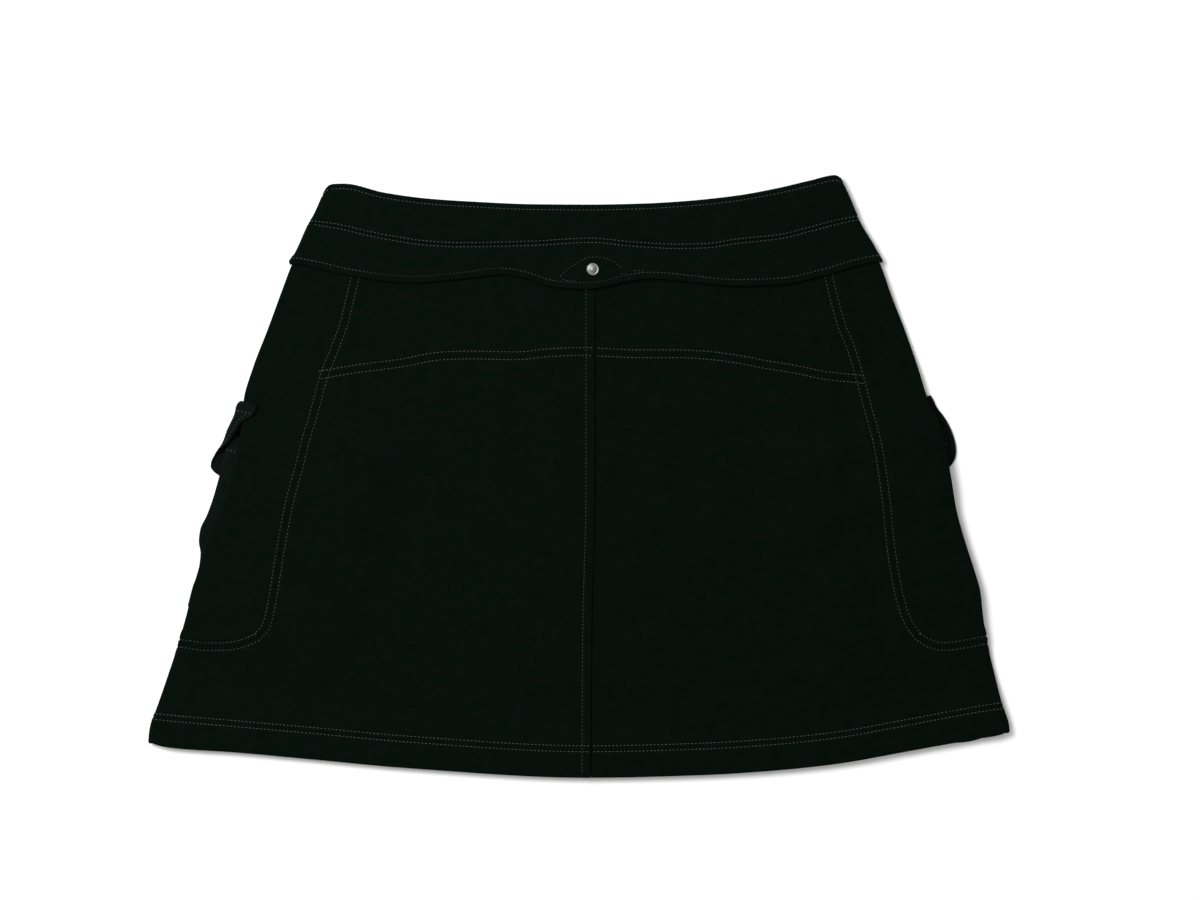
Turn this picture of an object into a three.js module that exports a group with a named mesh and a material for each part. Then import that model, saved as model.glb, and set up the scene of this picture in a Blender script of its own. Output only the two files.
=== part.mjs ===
// Cargo utility skirt in thick double knit, laid flat on its front with its back facing up.
// Millimetres. +X is to the right and +Y towards the waist as seen from above, +Z is up, the floor is z = 0.
// "Left" and "right" in the names are as seen from above.

import * as THREE from 'three';

// Cloth
const CLOTH = 1.5;
const GAP = 0.3;
const LAYER = CLOTH + GAP;
const WAIST_WALL = 2 * CLOTH;
const HEM_ALLOWANCE = 22;

// The turned edge of a hem or gusset: the radii of its outer and inner face
const TURN_OUTER = CLOTH + GAP / 2;
const TURN_INNER = GAP / 2;
const TURN_STEPS = 3;

// Height of the laid stack, front and back together, and how it changes
const STACK = 5.4;
const STACK_DROP_AT_FOLD = 1.0;
const FOLD_REACH = 70;
const STACK_AT_HEM = 7.2;
const HEM_ZONE = { full: 24, none: 50 };
const BAND_ZONE = { none: 116, full: 138 };
const STACK_OVER_POCKET = 3.9;
const BLEND_SHARPNESS = 1.5;

// Side folds of the laid body: the height up the skirt, and where the left and right fold lie
const SIDE_FOLDS = [
  { y: 222, left: -182.6, right: 192.9 },
  { y: 189, left: -199.2, right: 207.0 },
  { y: 172, left: -206.9, right: 217.2 },
  { y: 160, left: -213.0, right: 223.1 },
  { y: 134, left: -223.0, right: 232.5 },
  { y: 109, left: -232.3, right: 242.3 },
  { y: 81, left: -243.0, right: 252.0 },
  { y: 57, left: -249.8, right: 259.5 },
  { y: 36, left: -251.5, right: 269.0 },
  { y: 7, left: -257.5, right: 275.0 },
  { y: -25, left: -267.5, right: 280.5 },
  { y: -47, left: -277.3, right: 286.5 },
  { y: -68, left: -283.0, right: 293.2 },
  { y: -86, left: -288.3, right: 298.3 },
  { y: -102, left: -292.0, right: 300.0 },
  { y: -124, left: -298.4, right: 303.7 },
  { y: -150, left: -307.0, right: 309.8 },
  { y: -170, left: -313.8, right: 314.8 },
  { y: -186, left: -319.2, right: 319.6 },
  { y: -200, left: -321.0, right: 321.0 },
];

// Folds of the waistband and hip band, which lie outside the body
const BAND_FOLDS = [
  { y: 226, left: -182.5, right: 193.0 },
  { y: 214, left: -189.0, right: 198.4 },
  { y: 194, left: -198.1, right: 207.0 },
  { y: 189, left: -201.4, right: 209.2 },
  { y: 172, left: -209.1, right: 219.4 },
  { y: 160, left: -215.2, right: 225.3 },
];

// Seams between the back panels and the side panels, down to the corner where they turn outwards
const SIDE_SEAMS = [
  { y: 182, left: -156.0, right: 178.0 },
  { y: 145, left: -167.5, right: 186.3 },
  { y: 114, left: -175.1, right: 194.5 },
  { y: 94, left: -182.4, right: 202.5 },
  { y: 73, left: -190.5, right: 208.6 },
  { y: 50, left: -196.6, right: 214.7 },
  { y: 28, left: -203.0, right: 220.6 },
  { y: 11, left: -207.2, right: 223.8 },
  { y: -19, left: -215.2, right: 228.0 },
  { y: -50, left: -221.4, right: 231.2 },
  { y: -80, left: -226.2, right: 235.9 },
  { y: -100, left: -229.7, right: 241.0 },
  { y: -112, left: -233.2, right: 246.4 },
  { y: -119.3, left: -239.0, right: 251.7 },
  { y: -206, left: -250.0, right: 262.0 },
];

// Seams between the front panel and the side panels, by how far inside the fold they lie
const FRONT_SEAM_INSET = [
  { y: 200, inset: 82 },
  { y: 140, inset: 94 },
  { y: 60, inset: 122 },
  { y: 0, inset: 130 },
  { y: -100, inset: 130 },
  { y: -119, inset: 120 },
  { y: -206, inset: 118 },
];
const CENTRE_SEAM = 11.5;
const FELL_WIDTH = 6.5;
const FELL_LIFT = 0.8;

// Lines across the skirt, left to right
const WAIST_EDGE = [
  { x: -190, y: 214.0 },
  { x: -186, y: 217.4 },
  { x: -175, y: 217.9 },
  { x: -145, y: 211.2 },
  { x: -112, y: 206.7 },
  { x: -79, y: 204.5 },
  { x: -35, y: 202.6 },
  { x: 8, y: 202.3 },
  { x: 45, y: 203.0 },
  { x: 73, y: 204.5 },
  { x: 117, y: 209.0 },
  { x: 149, y: 214.9 },
  { x: 171, y: 220.1 },
  { x: 191, y: 224.3 },
  { x: 197, y: 221.4 },
];
const WAIST_SEAM = [
  { x: -202, y: 189.6 },
  { x: -178, y: 185.7 },
  { x: -157, y: 180.7 },
  { x: -134, y: 176.3 },
  { x: -112, y: 173.4 },
  { x: -90, y: 172.3 },
  { x: -35, y: 173.4 },
  { x: 8, y: 175.6 },
  { x: 40, y: 172.8 },
  { x: 73, y: 171.1 },
  { x: 95, y: 171.6 },
  { x: 117, y: 174.9 },
  { x: 149, y: 178.3 },
  { x: 171, y: 183.7 },
  { x: 193, y: 189.5 },
  { x: 210, y: 193.0 },
];
const BAND_EDGE = [
  { x: -217, y: 156.6 },
  { x: -213, y: 158.0 },
  { x: -198, y: 155.6 },
  { x: -166, y: 148.4 },
  { x: -123, y: 144.0 },
  { x: -90, y: 146.6 },
  { x: -57, y: 150.1 },
  { x: -40, y: 147.3 },
  { x: -18, y: 140.7 },
  { x: 6, y: 139.2 },
  { x: 19, y: 141.0 },
  { x: 30, y: 143.8 },
  { x: 53, y: 147.1 },
  { x: 84, y: 144.5 },
  { x: 117, y: 141.6 },
  { x: 149, y: 142.7 },
  { x: 182, y: 149.4 },
  { x: 204, y: 155.9 },
  { x: 222, y: 159.6 },
  { x: 226, y: 158.6 },
];
const FRONT_BAND_EDGE = [
  { x: -213, y: 158.0 },
  { x: -120, y: 148.0 },
  { x: 5, y: 143.0 },
  { x: 130, y: 148.0 },
  { x: 222, y: 159.6 },
];
const ARCHED_SEAM = [
  { x: -250, y: 66.0 },
  { x: -192, y: 75.7 },
  { x: -166, y: 80.1 },
  { x: -134, y: 84.2 },
  { x: -101, y: 89.8 },
  { x: -79, y: 90.4 },
  { x: -46, y: 89.8 },
  { x: -24, y: 92.0 },
  { x: 0, y: 93.0 },
  { x: 45, y: 91.3 },
  { x: 73, y: 91.3 },
  { x: 95, y: 90.2 },
  { x: 117, y: 87.4 },
  { x: 138, y: 83.4 },
  { x: 161, y: 79.7 },
  { x: 182, y: 75.3 },
  { x: 208, y: 72.5 },
  { x: 258, y: 64.0 },
];
const HEM_LINE = [
  { x: -321, y: -194.5 },
  { x: -316, y: -199.0 },
  { x: -300, y: -202.0 },
  { x: -261, y: -204.8 },
  { x: -194, y: -210.9 },
  { x: -128, y: -216.9 },
  { x: 6, y: -224.1 },
  { x: 90, y: -222.2 },
  { x: 140, y: -219.2 },
  { x: 190, y: -214.0 },
  { x: 240, y: -205.2 },
  { x: 273, y: -199.0 },
  { x: 296, y: -194.8 },
  { x: 314, y: -191.6 },
  { x: 321, y: -187.5 },
];

// Bottom seam of the side panels, by column: 0 at the centre, 1 at the side seam, 2 at the fold
const LOW_SEAM = [
  { column: -2.0, y: -124.0 },
  { column: -1.62, y: -126.5 },
  { column: -1.33, y: -125.9 },
  { column: -1.07, y: -121.3 },
  { column: -1.0, y: -119.3 },
  { column: -0.85, y: -122.5 },
  { column: -0.5, y: -131.0 },
  { column: 0.0, y: -136.0 },
  { column: 0.5, y: -131.0 },
  { column: 0.85, y: -122.5 },
  { column: 1.0, y: -119.3 },
  { column: 1.13, y: -123.6 },
  { column: 1.35, y: -126.3 },
  { column: 1.66, y: -124.8 },
  { column: 2.0, y: -121.8 },
];

// The front layer's hem and edges lie a little above the back's, and show below it near the right corner
const FRONT_SHIFT = [
  { x: -321, hem: 0.0 },
  { x: -200, hem: 1.5 },
  { x: 200, hem: 1.5 },
  { x: 270, hem: 0.4 },
  { x: 291, hem: -1.3 },
  { x: 304, hem: 0.0 },
  { x: 321, hem: 0.0 },
];
const FRONT_WAIST_DIP = 4;

// Soft creases of the laid back layer, as they run across it; a negative lift is a trough
const CREASES = [
  { run: [[-108, 26], [-96, 0], [-78, -17], [-57, -47], [-18, -70]], lift: -1.4, width: 10 },
  { run: [[24, -64], [46, -51], [68, -42], [93, -20]], lift: -1.2, width: 9 },
  { run: [[-211, -38], [-194, -67], [-163, -89], [-134, -111], [-108, -140]], lift: -1.1, width: 12 },
  { run: [[149, -81], [178, -67], [213, -38]], lift: -0.9, width: 11 },
  { run: [[110, 137], [149, 108], [178, 95]], lift: -1.0, width: 9 },
  { run: [[-18, 64], [-18, 30], [-20, -3]], lift: 0.8, width: 12 },
];

// Pockets lie on the front half of the side panels, turned with the side.
// "along" runs down the side from the top of the flap and "inward" is square to it.
const POCKET_TILT = THREE.MathUtils.degToRad(13.5);
const POCKETS = {
  left: { side: -1, x: -250.0, y: 56.0 },
  right: { side: 1, x: 259.5, y: 60.0 },
};
const POCKET_INNER_EDGE = 96;
const BAG_TOP = 26;
const BAG_BOTTOM = 158;
const BAG_STEP_DOWN = { from: 60, to: 75 };
const GUSSET = 16;
const BAG_OUTER_EDGE = [
  { along: 26, left: -1.8, right: -6.5 },
  { along: 36, left: -4.0, right: -6.0 },
  { along: 48, left: -4.9, right: -4.2 },
  { along: 58, left: -4.5, right: -1.0 },
  { along: 66, left: -4.8, right: 1.2 },
  { along: 76, left: -5.4, right: 1.5 },
  { along: 89, left: -6.9, right: 1.0 },
  { along: 100, left: -9.2, right: 0.5 },
  { along: 109, left: -8.2, right: 0.5 },
  { along: 118, left: -4.7, right: 0.0 },
  { along: 131, left: -3.4, right: -1.0 },
  { along: 144, left: -4.8, right: -3.0 },
  { along: 158, left: -5.0, right: -3.5 },
];

// Pocket flap: flat on the floor as far as its bend, which lies so far inward of the pocket's outer line.
// There it may turn up, with a half round of this width and rise, through an angle in degrees, and
// then run straight back over the layers above it.
const FLAP_INNER_EDGE = 100;
const FLAP_BEND_WIDTH = 3;
const FLAP_STEPS = 12;
const FLAP_SHAPE = {
  left: [
    { along: 0, bend: 1.7, rise: 3.7, turn: 180, back: 8.6 },
    { along: 2.5, bend: -0.1, rise: 3.8, turn: 180, back: 10.7 },
    { along: 6, bend: -0.7, rise: 4.0, turn: 180, back: 11.3 },
    { along: 9, bend: -0.4, rise: 4.2, turn: 180, back: 9.2 },
    { along: 12, bend: -0.7, rise: 4.35, turn: 180, back: 6.5 },
    { along: 15, bend: -1.2, rise: 4.4, turn: 180, back: 4.4 },
    { along: 19, bend: -2.1, rise: 4.1, turn: 180, back: 3.3 },
    { along: 25, bend: -3.3, rise: 3.8, turn: 178, back: 2.7 },
    { along: 30, bend: -3.7, rise: 3.5, turn: 170, back: 1.8 },
    { along: 34, bend: -4.4, rise: 3.3, turn: 155, back: 1.2 },
    { along: 38, bend: -5.9, rise: 3.0, turn: 125, back: 0.6 },
    { along: 42, bend: -7.5, rise: 3.0, turn: 85, back: 0.5 },
    { along: 46, bend: -9.1, rise: 3.0, turn: 55, back: 0.5 },
    { along: 50, bend: -11.2, rise: 3.0, turn: 25, back: 0.5 },
    { along: 53, bend: -11.6, rise: 3.0, turn: 10, back: 0.5 },
    { along: 56, bend: -9.0, rise: 3.0, turn: 5, back: 0.5 },
    { along: 58, bend: -4.6, rise: 3.0, turn: 0, back: 0.5 },
  ],
  right: [
    { along: 0, bend: -1.6, rise: 3.0, turn: 0, back: 0.5 },
    { along: 3, bend: -2.6, rise: 3.0, turn: 0, back: 0.5 },
    { along: 10, bend: -4.0, rise: 3.0, turn: 0, back: 0.5 },
    { along: 16.5, bend: -7.0, rise: 3.0, turn: 0, back: 0.5 },
    { along: 23, bend: -9.2, rise: 3.0, turn: 0, back: 0.5 },
    { along: 32, bend: -10.9, rise: 3.0, turn: 0, back: 0.5 },
    { along: 38.5, bend: -11.2, rise: 3.0, turn: 0, back: 0.5 },
    { along: 44, bend: -10.6, rise: 3.0, turn: 0, back: 0.5 },
    { along: 49, bend: -8.9, rise: 3.0, turn: 0, back: 0.5 },
    { along: 53, bend: -5.8, rise: 3.0, turn: 0, back: 0.5 },
    { along: 56, bend: -1.6, rise: 3.0, turn: 0, back: 0.5 },
  ],
};

// How far a pocket lifts the layers above it, along the pocket
const FRONT_RISE = [
  { along: -34, lift: 0 },
  { along: -8, lift: LAYER },
  { along: 8, lift: LAYER },
  { along: 24, lift: 3 * LAYER + 0.2 },
  { along: 66, lift: 3 * LAYER + 0.2 },
  { along: 84, lift: 2 * LAYER + 0.2 },
  { along: 164, lift: 2 * LAYER + 0.2 },
  { along: 190, lift: 0 },
];
const BACK_RISE = [
  { along: -50, lift: 0 },
  { along: -12, lift: 1.9 },
  { along: 0, lift: 2.4 },
  { along: 20, lift: 5.8 },
  { along: 68, lift: 5.9 },
  { along: 88, lift: 4.2 },
  { along: 164, lift: 4.0 },
  { along: 206, lift: 0 },
];
const FRONT_RISE_SPAN = { full: 100, none: 124 };
const BACK_RISE_SPAN = { full: 96, none: 150 };

// Hip band: the swell round the rivet, and how far its lower edge stands off the panels
const RIVET = { x: 10.0, y: 154.1, radius: 4.85, rim: 0.5, crown: 1.5, sides: 24, crownSteps: 5 };
const SWELL = { halfLength: 27, halfHeight: 10, lift: 0.6 };
const STAND_OFF = [
  { x: -225, lift: 0.0 },
  { x: -120, lift: 0.1 },
  { x: -30, lift: 0.4 },
  { x: 40, lift: 1.0 },
  { x: 130, lift: 0.9 },
  { x: 190, lift: 0.2 },
  { x: 225, lift: 0.0 },
];
const STAND_OFF_ZONE = 18;

// Grid lines of the body, from the centre seam round the fold to the middle of the front
const BACK_COLUMNS = [0, 0.03, 0.06, 0.17, 0.28, 0.39, 0.5, 0.61, 0.72, 0.83, 0.92, 1];
const SIDE_COLUMNS = [1, 1.13, 1.35, 1.62, 1.84, 2];
const FOLD_COLUMNS = [2, 2.25, 2.5, 2.75, 3];
const FRONT_SIDE_COLUMNS = [3, 3.1, 3.3, 3.55, 3.72, 3.8, 3.88, 3.95, 4];
const FRONT_COLUMNS = [4, 4.2, 4.45, 4.72, 5];
const LOWER_SIDE_SEAM = 3.1;
const YOKE_ROWS = [0, 0.2, 0.34, 0.48, 0.65, 0.82, 1];
const PANEL_ROWS = [
  1, 1.09, 1.15, 1.2, 1.24, 1.28, 1.32, 1.36, 1.4, 1.45, 1.5, 1.56, 1.64, 1.73, 1.83, 1.92, 1.97, 2,
];
const LOW_SEAM_EASE = 0.001;
const LOWER_ROWS = [2, 2.16, 2.34, 2.56, 2.78];
const BAND_STEPS = { back: 32, fold: 4, front: 12 };

// Where the search for a line's height up the skirt starts: waist, arched seam, low seam, hem and bands
const LINE_START = [180, 80, -120, -205];
const BAND_START = 180;
const FELL_FADE = 4;

const COLOURS = { cloth: 0x0a120f, band: 0x0d1511, metal: 0xb9bdbf };

// Smooth curve through a table's column, without overshoot
function curve(table, key, column) {
  const rows = [...table].sort((a, b) => a[key] - b[key]);
  const at = rows.map((row) => row[key]);
  const value = rows.map((row) => row[column]);
  const last = rows.length - 1;
  const rise = [];
  for (let i = 0; i < last; i += 1) rise.push((value[i + 1] - value[i]) / (at[i + 1] - at[i]));
  const slope = rows.map((row, i) => {
    if (i === 0) return rise[0];
    if (i === last) return rise[last - 1];
    if (rise[i - 1] * rise[i] <= 0) return 0;
    const before = at[i] - at[i - 1];
    const after = at[i + 1] - at[i];
    const weight = (2 * after + before) / rise[i - 1] + (after + 2 * before) / rise[i];
    return (3 * (before + after)) / weight;
  });
  return (where) => {
    if (where <= at[0]) return value[0] + slope[0] * (where - at[0]);
    if (where >= at[last]) return value[last] + slope[last] * (where - at[last]);
    let i = 0;
    while (where > at[i + 1]) i += 1;
    const width = at[i + 1] - at[i];
    const f = (where - at[i]) / width;
    const g = 1 - f;
    return g * g * (1 + 2 * f) * value[i] + f * f * (3 - 2 * f) * value[i + 1]
      + f * g * width * (g * slope[i] - f * slope[i + 1]);
  };
}

const smooth = (from, to, where) => THREE.MathUtils.smoothstep(where, Math.min(from, to), Math.max(from, to));
const lerp = THREE.MathUtils.lerp;
const nameOf = (side) => (side < 0 ? 'left' : 'right');
const bothSides = (table, key) => ({ left: curve(table, key, 'left'), right: curve(table, key, 'right') });

const sideFold = bothSides(SIDE_FOLDS, 'y');
const bandFold = bothSides(BAND_FOLDS, 'y');
const sideSeam = bothSides(SIDE_SEAMS, 'y');
const bagOuterEdge = bothSides(BAG_OUTER_EDGE, 'along');
const frontSeamInset = curve(FRONT_SEAM_INSET, 'y', 'inset');
const waistEdge = curve(WAIST_EDGE, 'x', 'y');
const waistSeam = curve(WAIST_SEAM, 'x', 'y');
const bandEdge = curve(BAND_EDGE, 'x', 'y');
const frontBandEdge = curve(FRONT_BAND_EDGE, 'x', 'y');
const archedSeam = curve(ARCHED_SEAM, 'x', 'y');
const hemLine = curve(HEM_LINE, 'x', 'y');
const lowSeam = curve(LOW_SEAM, 'column', 'y');
const frontHemShift = curve(FRONT_SHIFT, 'x', 'hem');
const frontRise = curve(FRONT_RISE, 'along', 'lift');
const backRise = curve(BACK_RISE, 'along', 'lift');
const standOff = curve(STAND_OFF, 'x', 'lift');

// Place of a plan point in a pocket's own frame, and back again
function pocketFrame(pocket) {
  const outward = pocket.side * Math.sin(POCKET_TILT);
  const down = -Math.cos(POCKET_TILT);
  return {
    along: (x, y) => (x - pocket.x) * outward + (y - pocket.y) * down,
    inward: (x, y) => (x - pocket.x) * pocket.side * down + (y - pocket.y) * -Math.sin(POCKET_TILT),
    x: (along, inward) => pocket.x + along * outward + inward * pocket.side * down,
    y: (along, inward) => pocket.y + along * down - inward * Math.sin(POCKET_TILT),
  };
}
const frames = { left: pocketFrame(POCKETS.left), right: pocketFrame(POCKETS.right) };

// Lift over the pockets, for the front layer and, more softly, for the back layer
function pocketLift(side, x, y, rise, table, span) {
  const frame = frames[nameOf(side)];
  const along = frame.along(x, y);
  if (along < table[0].along || along > table[table.length - 1].along) return 0;
  return rise(along) * (1 - smooth(span.full, span.none, frame.inward(x, y)));
}

// Lowest face of the front layer: on the floor, on the hip band, or on a pocket
function underHeight(side, x, y) {
  const overBand = LAYER * smooth(BAND_ZONE.none, BAND_ZONE.full, y);
  return overBand + pocketLift(side, x, y, frontRise, FRONT_RISE, FRONT_RISE_SPAN);
}

// Distance from a point to a crease's run, and how far along the run it is, from 0 to 1
function nearestOnRun(run, x, y) {
  let best = { distance: Infinity, place: 0 };
  for (let i = 0; i < run.length - 1; i += 1) {
    const [ax, ay] = run[i];
    const dx = run[i + 1][0] - ax;
    const dy = run[i + 1][1] - ay;
    const f = THREE.MathUtils.clamp(((x - ax) * dx + (y - ay) * dy) / (dx * dx + dy * dy), 0, 1);
    const distance = Math.hypot(x - ax - f * dx, y - ay - f * dy);
    if (distance < best.distance) best = { distance, place: (i + f) / (run.length - 1) };
  }
  return best;
}

function creaseLift(x, y) {
  let lift = 0;
  for (const crease of CREASES) {
    const near = nearestOnRun(crease.run, x, y);
    const taper = Math.sin(Math.PI * lerp(0.12, 0.88, near.place));
    lift += crease.lift * taper * Math.exp(-((near.distance / crease.width) ** 2));
  }
  return lift;
}

// Upper face of the back layer
function backHeight(side, x, y) {
  const fromFold = Math.abs(sideFold[nameOf(side)](y) - x);
  const fromHem = y - hemLine(x);
  const band = smooth(BAND_ZONE.none, BAND_ZONE.full, y);
  const hem = 1 - smooth(HEM_ZONE.full, HEM_ZONE.none, fromHem);
  const inner = smooth(0, FOLD_REACH, fromFold);
  const open = STACK - STACK_DROP_AT_FOLD * (1 - inner) * (1 - band);
  const base = lerp(open, STACK_AT_HEM, hem);
  const lifted = STACK_OVER_POCKET + pocketLift(side, x, y, backRise, BACK_RISE, BACK_RISE_SPAN);
  const extra = Math.log1p(Math.exp(BLEND_SHARPNESS * (lifted - base))) / BLEND_SHARPNESS;
  return base + extra + creaseLift(x, y) * inner * (1 - band) * (1 - hem);
}

// Round of the side fold at one height
function foldRound(side, y) {
  const x = sideFold[nameOf(side)](y);
  const under = underHeight(side, x, y);
  const radius = (backHeight(side, x, y) - under) / 2;
  return { x, under, radius, start: x - side * radius };
}

function columnX(side, q, y) {
  const { start } = foldRound(side, y);
  const seam = sideSeam[nameOf(side)](y);
  const frontSeam = sideFold[nameOf(side)](y) - side * frontSeamInset(y);
  if (q <= 1) return lerp(CENTRE_SEAM, seam, q);
  if (q <= 2) return lerp(seam, start, q - 1);
  if (q <= 3) return start;
  if (q <= 4) return lerp(start, frontSeam, q - 3);
  return lerp(frontSeam, CENTRE_SEAM, q - 4);
}

// Height up the skirt of one of the four main lines, at a column
function lineY(side, q, line) {
  const column = q <= 2 ? q : Math.min(2, 5 - q);
  if (line === 2) return lowSeam(side * column);
  const run = [(x) => waistSeam(x) - WAIST_WALL, archedSeam, null, hemLine][line];
  let y = LINE_START[line];
  for (let pass = 0; pass < 3; pass += 1) {
    const x = columnX(side, q, y);
    y = run(x);
    if (q > 3 && line === 0) y -= FRONT_WAIST_DIP * Math.min(1, q - 3);
    if (q > 3 && line === 3) y += frontHemShift(x);
  }
  return y;
}

// Point of the body's outer face: column q round the skirt, row t down it
function bodyPoint(side, q, t) {
  const row = Math.min(2, Math.max(0, Math.floor(t)));
  const y = lerp(lineY(side, q, row), lineY(side, q, row + 1), t - row);
  const { under, radius, x: foldX } = foldRound(side, y);
  if (q > 2 && q < 3) {
    const angle = (q - 2) * Math.PI;
    const x = foldX - side * radius * (1 - Math.sin(angle));
    return new THREE.Vector3(x, y, under + radius * (1 + Math.cos(angle)));
  }
  const x = columnX(side, q, y);
  return new THREE.Vector3(x, y, q <= 2 ? backHeight(side, x, y) : underHeight(side, x, y));
}

// Direction along one parameter of a surface, and the normal out of its face
const STEP = 1e-3;
const alongFirst = (surface, a, b) => surface(a + STEP, b).sub(surface(a - STEP, b)).normalize();
const alongSecond = (surface, a, b) => surface(a, b + STEP).sub(surface(a, b - STEP)).normalize();
function faceNormal(surface, a, b, facing) {
  return alongFirst(surface, a, b).cross(alongSecond(surface, a, b)).normalize().multiplyScalar(facing);
}

// A turned edge at an angle from 0, before the turn, to pi, folded flat on itself:
// how far each face has risen inwards and reaches out past the turn's centre
function turned(angle) {
  return {
    face: TURN_OUTER * (1 - Math.cos(angle)),
    back: TURN_OUTER - TURN_INNER * Math.cos(angle),
    faceOut: TURN_OUTER * Math.sin(angle),
    backOut: TURN_INNER * Math.sin(angle),
  };
}
const turnAngles = Array.from({ length: TURN_STEPS + 1 }, (unused, i) => (Math.PI * i) / TURN_STEPS);

// A wall of cloth: pairs of points on its two faces, joined by quads, and closed round its edges
class ClothWall {
  constructor() {
    this.faces = [];
    this.backs = [];
    this.found = new Map();
    this.quads = [];
  }

  pair(face, back) {
    const key = face.toArray().map((value) => value.toFixed(3)).join();
    if (!this.found.has(key)) {
      this.found.set(key, this.faces.length);
      this.faces.push(face);
      this.backs.push(back);
    }
    return this.found.get(key);
  }

  // Fill a block of the grid; pairOf gives the two points at a column and row
  block(columns, rows, pairOf) {
    const grid = columns.map((column) => rows.map((row) => {
      const { face, back } = pairOf(column, row);
      return this.pair(face, back);
    }));
    for (let i = 0; i < columns.length - 1; i += 1) {
      for (let j = 0; j < rows.length - 1; j += 1) {
        this.quads.push([grid[i][j], grid[i + 1][j], grid[i + 1][j + 1], grid[i][j + 1]]);
      }
    }
  }

  openEdges() {
    const edges = new Map();
    for (const quad of this.quads) {
      quad.forEach((from, k) => {
        const to = quad[(k + 1) % 4];
        const back = `${to},${from}`;
        if (edges.has(back)) edges.delete(back);
        else edges.set(`${from},${to}`, [from, to]);
      });
    }
    return [...edges.values()];
  }

  // Draw every open edge in by half a gap, so that neighbours lie a gap apart
  drawIn(edges) {
    const middles = new Map(edges.flat().map((index) => [index, []]));
    for (const quad of this.quads) {
      const middle = new THREE.Vector3();
      quad.forEach((index) => middle.addScaledVector(this.faces[index], 1 / 4));
      quad.forEach((index) => middles.get(index)?.push(middle));
    }
    for (const [index, around] of middles) {
      const aim = new THREE.Vector3();
      around.forEach((middle) => aim.add(middle));
      aim.divideScalar(around.length).sub(this.faces[index]);
      aim.setLength(around.length === 1 ? GAP / Math.SQRT2 : GAP / 2);
      this.faces[index] = this.faces[index].clone().add(aim);
      this.backs[index] = this.backs[index].clone().add(aim);
    }
  }

  geometry() {
    const edges = this.openEdges();
    this.drawIn(edges);
    const count = this.faces.length;
    const triangles = [];
    for (const [a, b, c, d] of this.quads) {
      triangles.push([a, b, c], [a, c, d]);
      triangles.push([a + count, c + count, b + count], [a + count, d + count, c + count]);
    }
    for (const [a, b] of edges) triangles.push([a, a + count, b + count], [a, b + count, b]);
    return solid([...this.faces, ...this.backs], triangles);
  }
}

// Geometry of a closed solid, with its faces turned outwards
function solid(points, triangles) {
  let volume = 0;
  const cross = new THREE.Vector3();
  for (const [a, b, c] of triangles) {
    volume += points[a].dot(cross.crossVectors(points[b], points[c]));
  }
  const order = volume < 0 ? [0, 2, 1] : [0, 1, 2];
  const geometry = new THREE.BufferGeometry();
  const positions = points.flatMap((point) => point.toArray());
  geometry.setAttribute('position', new THREE.Float32BufferAttribute(positions, 3));
  geometry.setIndex(triangles.flatMap((triangle) => order.map((k) => triangle[k])));
  geometry.computeVertexNormals();
  return geometry;
}

const materials = {
  cloth: () => new THREE.MeshStandardMaterial({ color: COLOURS.cloth, roughness: 0.9, metalness: 0 }),
  band: () => new THREE.MeshStandardMaterial({ color: COLOURS.band, roughness: 0.9, metalness: 0 }),
  metal: () => new THREE.MeshStandardMaterial({ color: COLOURS.metal, roughness: 0.35, metalness: 1 }),
};

const skirt = new THREE.Group();
function addPiece(name, geometry, material) {
  const mesh = new THREE.Mesh(geometry, material());
  mesh.name = name;
  skirt.add(mesh);
}

// The two faces of a body panel at a column and a row. The felled centre seam is raised on the left panel.
function bodyPair(side, q, row) {
  const surface = (a, b) => bodyPoint(side, a, b);
  const normal = faceNormal(surface, q, row.t, -side);
  const down = alongSecond(surface, q, row.t);
  const base = bodyPoint(side, q, row.t);
  const fromSeam = Math.abs(base.x - CENTRE_SEAM);
  const clearOfBand = 1 - smooth(BAND_ZONE.full - FELL_FADE, BAND_ZONE.full, base.y);
  const felled = side < 0 && q < 1 && !row.inside && fromSeam < FELL_WIDTH;
  const fell = felled ? FELL_LIFT * clearOfBand : 0;
  const offset = (depth, out) => base.clone().addScaledVector(normal, -depth).addScaledVector(down, out);
  return { face: offset(row.face - fell, row.faceOut), back: offset(row.back, row.backOut) };
}

// Rows of a body panel. The last ones turn the hem up inside.
const plainRow = (t) => ({ t, face: 0, back: CLOTH, faceOut: 0, backOut: 0, inside: false });
const LOWER_DEPTH = 86;
const hemTurn = 3 - TURN_OUTER / LOWER_DEPTH;
const hemRows = [
  ...turnAngles.map((angle) => ({ t: hemTurn, ...turned(angle), inside: angle > 0 })),
  ...[0.5, 1].map((part) => ({
    t: 3 - (HEM_ALLOWANCE * part) / LOWER_DEPTH,
    ...turned(Math.PI),
    inside: true,
  })),
];
const yokeRows = YOKE_ROWS.map(plainRow);
const panelRows = PANEL_ROWS.map(plainRow);
const lowerRows = [...LOWER_ROWS.map(plainRow), ...hemRows];
const join = (...lists) => [...new Set(lists.flat())];

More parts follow.
